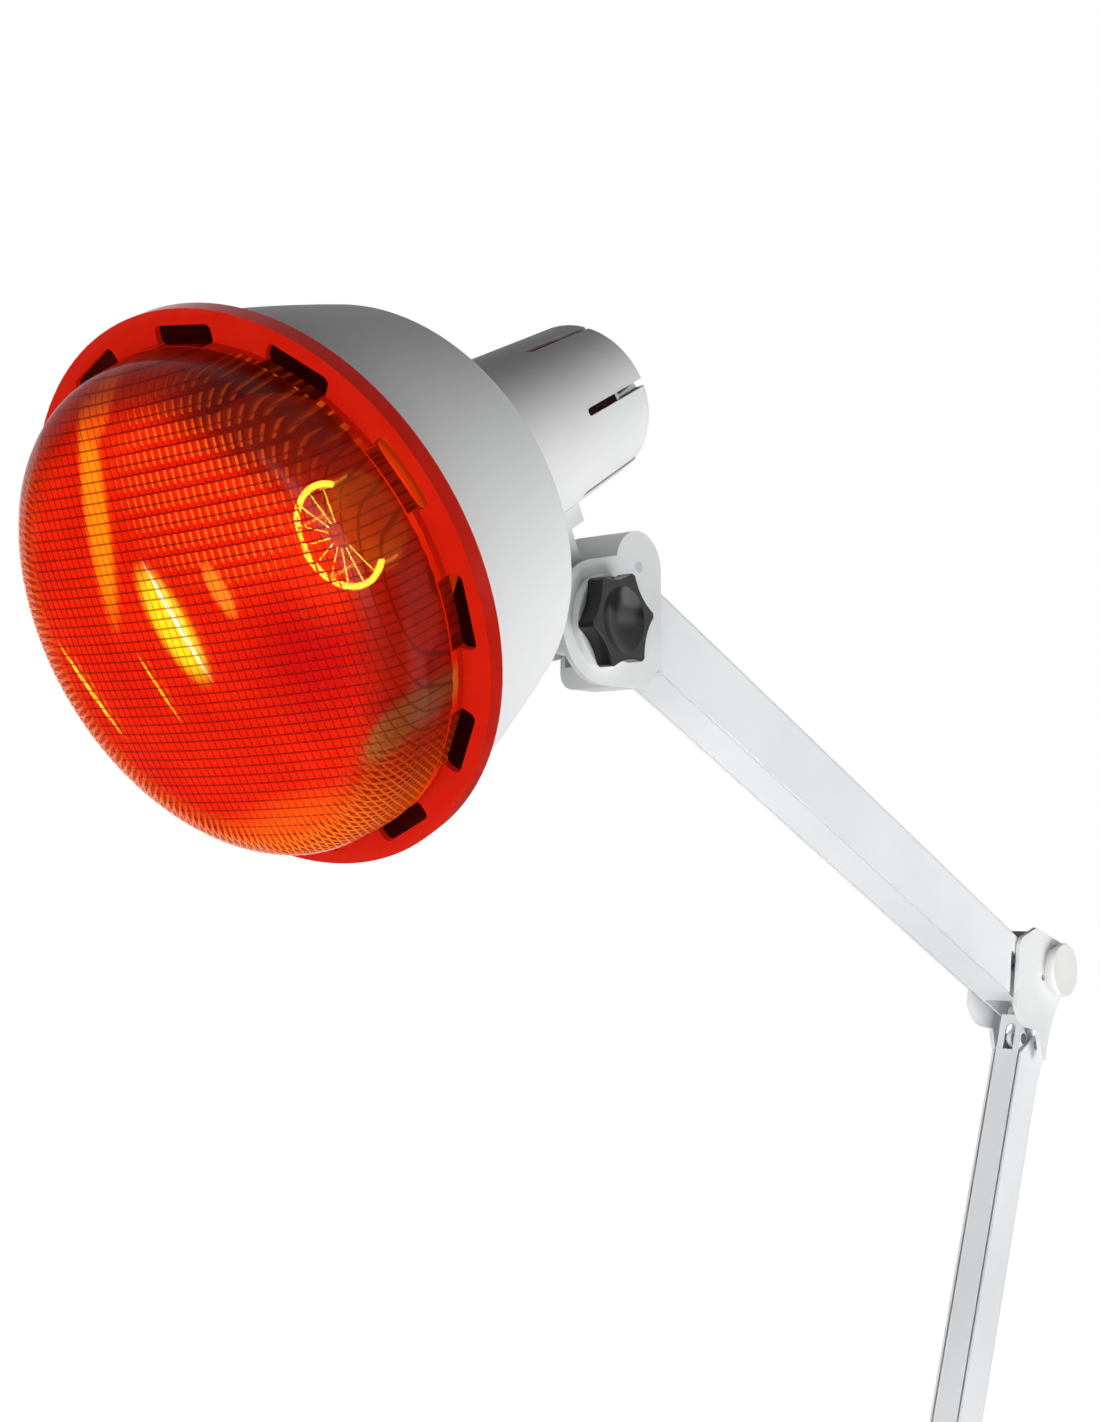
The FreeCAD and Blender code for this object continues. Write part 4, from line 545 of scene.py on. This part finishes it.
# Ribs on the inside of the filter's front: a fine square lattice, moulded in one
# with it, that spreads the beam.

INNER_FRONT = 0.4806
FRONT_CENTRE = -0.444706
RIB_SINK = 0.00015
RIB_HEIGHT = 0.0005
RIB_HALF_WIDTH = 0.0003
RIB_FIELD = 0.088
RIB_REACH = 0.079

# the ribs carry a faint painted glow of the lamp's red light
rib_red = grained("moulded_red_ribs", screen(112, 12, 6), screen(150, 20, 8), 0.3, 0.002, 0.1,
                  Emission_Color=screen(120, 12, 6), Emission_Strength=0.3)

lattice = bmesh.new()
count = 2 * int(RIB_FIELD / MESH_PITCH)
bmesh.ops.create_grid(lattice, x_segments=count, y_segments=count,
                      size=count * MESH_PITCH / 2,
                      matrix=Matrix.Rotation(math.pi / 2, 4, "Y"))
bmesh.ops.delete(lattice, context="FACES", geom=[
    face for face in lattice.faces if face.calc_center_median().length > RIB_REACH])
for point in lattice.verts:
    off_axis = math.hypot(point.co.y, point.co.z)
    point.co.x = FRONT_CENTRE + math.sqrt(INNER_FRONT ** 2 - off_axis ** 2) + RIB_SINK
# each cell is inset and its middle taken out, which leaves the ribs between the cells
cells = bmesh.ops.inset_individual(lattice, faces=lattice.faces[:], thickness=RIB_HALF_WIDTH,
                                   use_even_offset=True)
rims = set(cells["faces"])
bmesh.ops.delete(lattice, geom=[face for face in lattice.faces if face not in rims],
                 context="FACES")
bmesh.ops.recalc_face_normals(lattice, faces=lattice.faces[:])
ribs = head_piece(lattice, "filter_front_ribs", rib_red)
wall = ribs.modifiers.new("rib_height", "SOLIDIFY")
wall.thickness = RIB_HEIGHT
wall.offset = -1


# Floor and light: a plain white sheet under soft lamps from the sides, from
# low in front and from the floor, so that what faces up falls to grey.

FLOOR_AT = -0.0602
FLOOR_HALF = 12

floor_white, surface = new_finish("floor_white", Roughness=0.8)
surface.inputs["Base Color"].default_value = screen(240, 240, 240)
shine = add(floor_white, "Emission", Strength=1.05)
looked_at = add(floor_white, "LightPath").outputs["Is Camera Ray"]
from_foot = number_of(floor_white, "LENGTH", add(floor_white, "TexCoord").outputs["Object"])
# near the foot the sheet keeps a little of its shadow, and further out none
plain_share = add(floor_white, "MapRange", Value=from_foot, From_Min=0.4, From_Max=1.2,
                  To_Min=0.90, To_Max=1.0)
blend = add(floor_white, "MixShader",
            Fac=math_of(floor_white, "MULTIPLY", looked_at, plain_share.outputs["Result"]))
feed(floor_white, blend.inputs[1], surface.outputs[0])
feed(floor_white, blend.inputs[2], shine.outputs[0])
join(floor_white, blend.outputs[0], floor_white.node_tree.nodes["Material Output"], "Surface")

floor_shape = bmesh.new()
bmesh.ops.create_grid(floor_shape, x_segments=1, y_segments=1, size=FLOOR_HALF)
floor = made_piece(floor_shape, "floor", floor_white, Matrix.Translation((0, 0, FLOOR_AT)))

room = bpy.data.worlds.new("studio")
bpy.context.scene.world = room
room.use_nodes = True
rays = add(room, "LightPath").outputs
plain = math_of(room, "MAXIMUM", rays["Is Camera Ray"],
                math_of(room, "MAXIMUM", rays["Is Glossy Ray"], rays["Is Transmission Ray"]))
level = add(room, "MapRange", Value=plain, To_Min=0.035, To_Max=1.0)
backdrop = room.node_tree.nodes["Background"]
backdrop.inputs["Color"].default_value = (1, 1, 1, 1)
join(room, level.outputs[0], backdrop, "Strength")


def soft_lamp(name, place, aim, size, power):
    """A square lamp of that size in metres and power in watts, turned to its aim."""
    lamp = bpy.data.lights.new(name, "AREA")
    lamp.size = size
    lamp.energy = power
    holder = bpy.data.objects.new(name, lamp)
    holder.location = place
    holder.rotation_euler = (Vector(aim) - Vector(place)).to_track_quat("-Z", "Y").to_euler()
    bpy.context.scene.collection.objects.link(holder)


soft_lamp("side_lamp", (-0.35, 1.45, 0.30), aim=(0.2, 0, 0.55), size=1.3, power=9)
soft_lamp("floor_lamp", (-0.25, 1.1, -0.04), aim=(-0.25, 1.1, 1), size=1.3, power=18)
soft_lamp("low_front_lamp", (1.35, 0.15, 0.02), aim=(0.0, 0, 0.4), size=0.9, power=26)
soft_lamp("back_lamp", (-0.5, -1.5, 0.30), aim=(0.1, 0, 0.5), size=1.3, power=8)

EYE_AT = (0.98, 0.5954, 0.5053)

eye = bpy.data.cameras.new("eye")
eye.lens = 72
eye.sensor_width = 36
eye.sensor_fit = "HORIZONTAL"
stand = bpy.data.objects.new("eye", eye)
right = Vector((-0.6387, 0.7695, 0)).normalized()
forward = Vector((-0.7667, -0.6363, 0.0854)).normalized()
top = right.cross(forward)
stand.matrix_world = Matrix.Translation(EYE_AT) @ Matrix(
    (right, top, -forward)).transposed().to_4x4()
bpy.context.scene.collection.objects.link(stand)
bpy.context.scene.camera = stand
bpy.context.scene.view_settings.view_transform = "Standard"
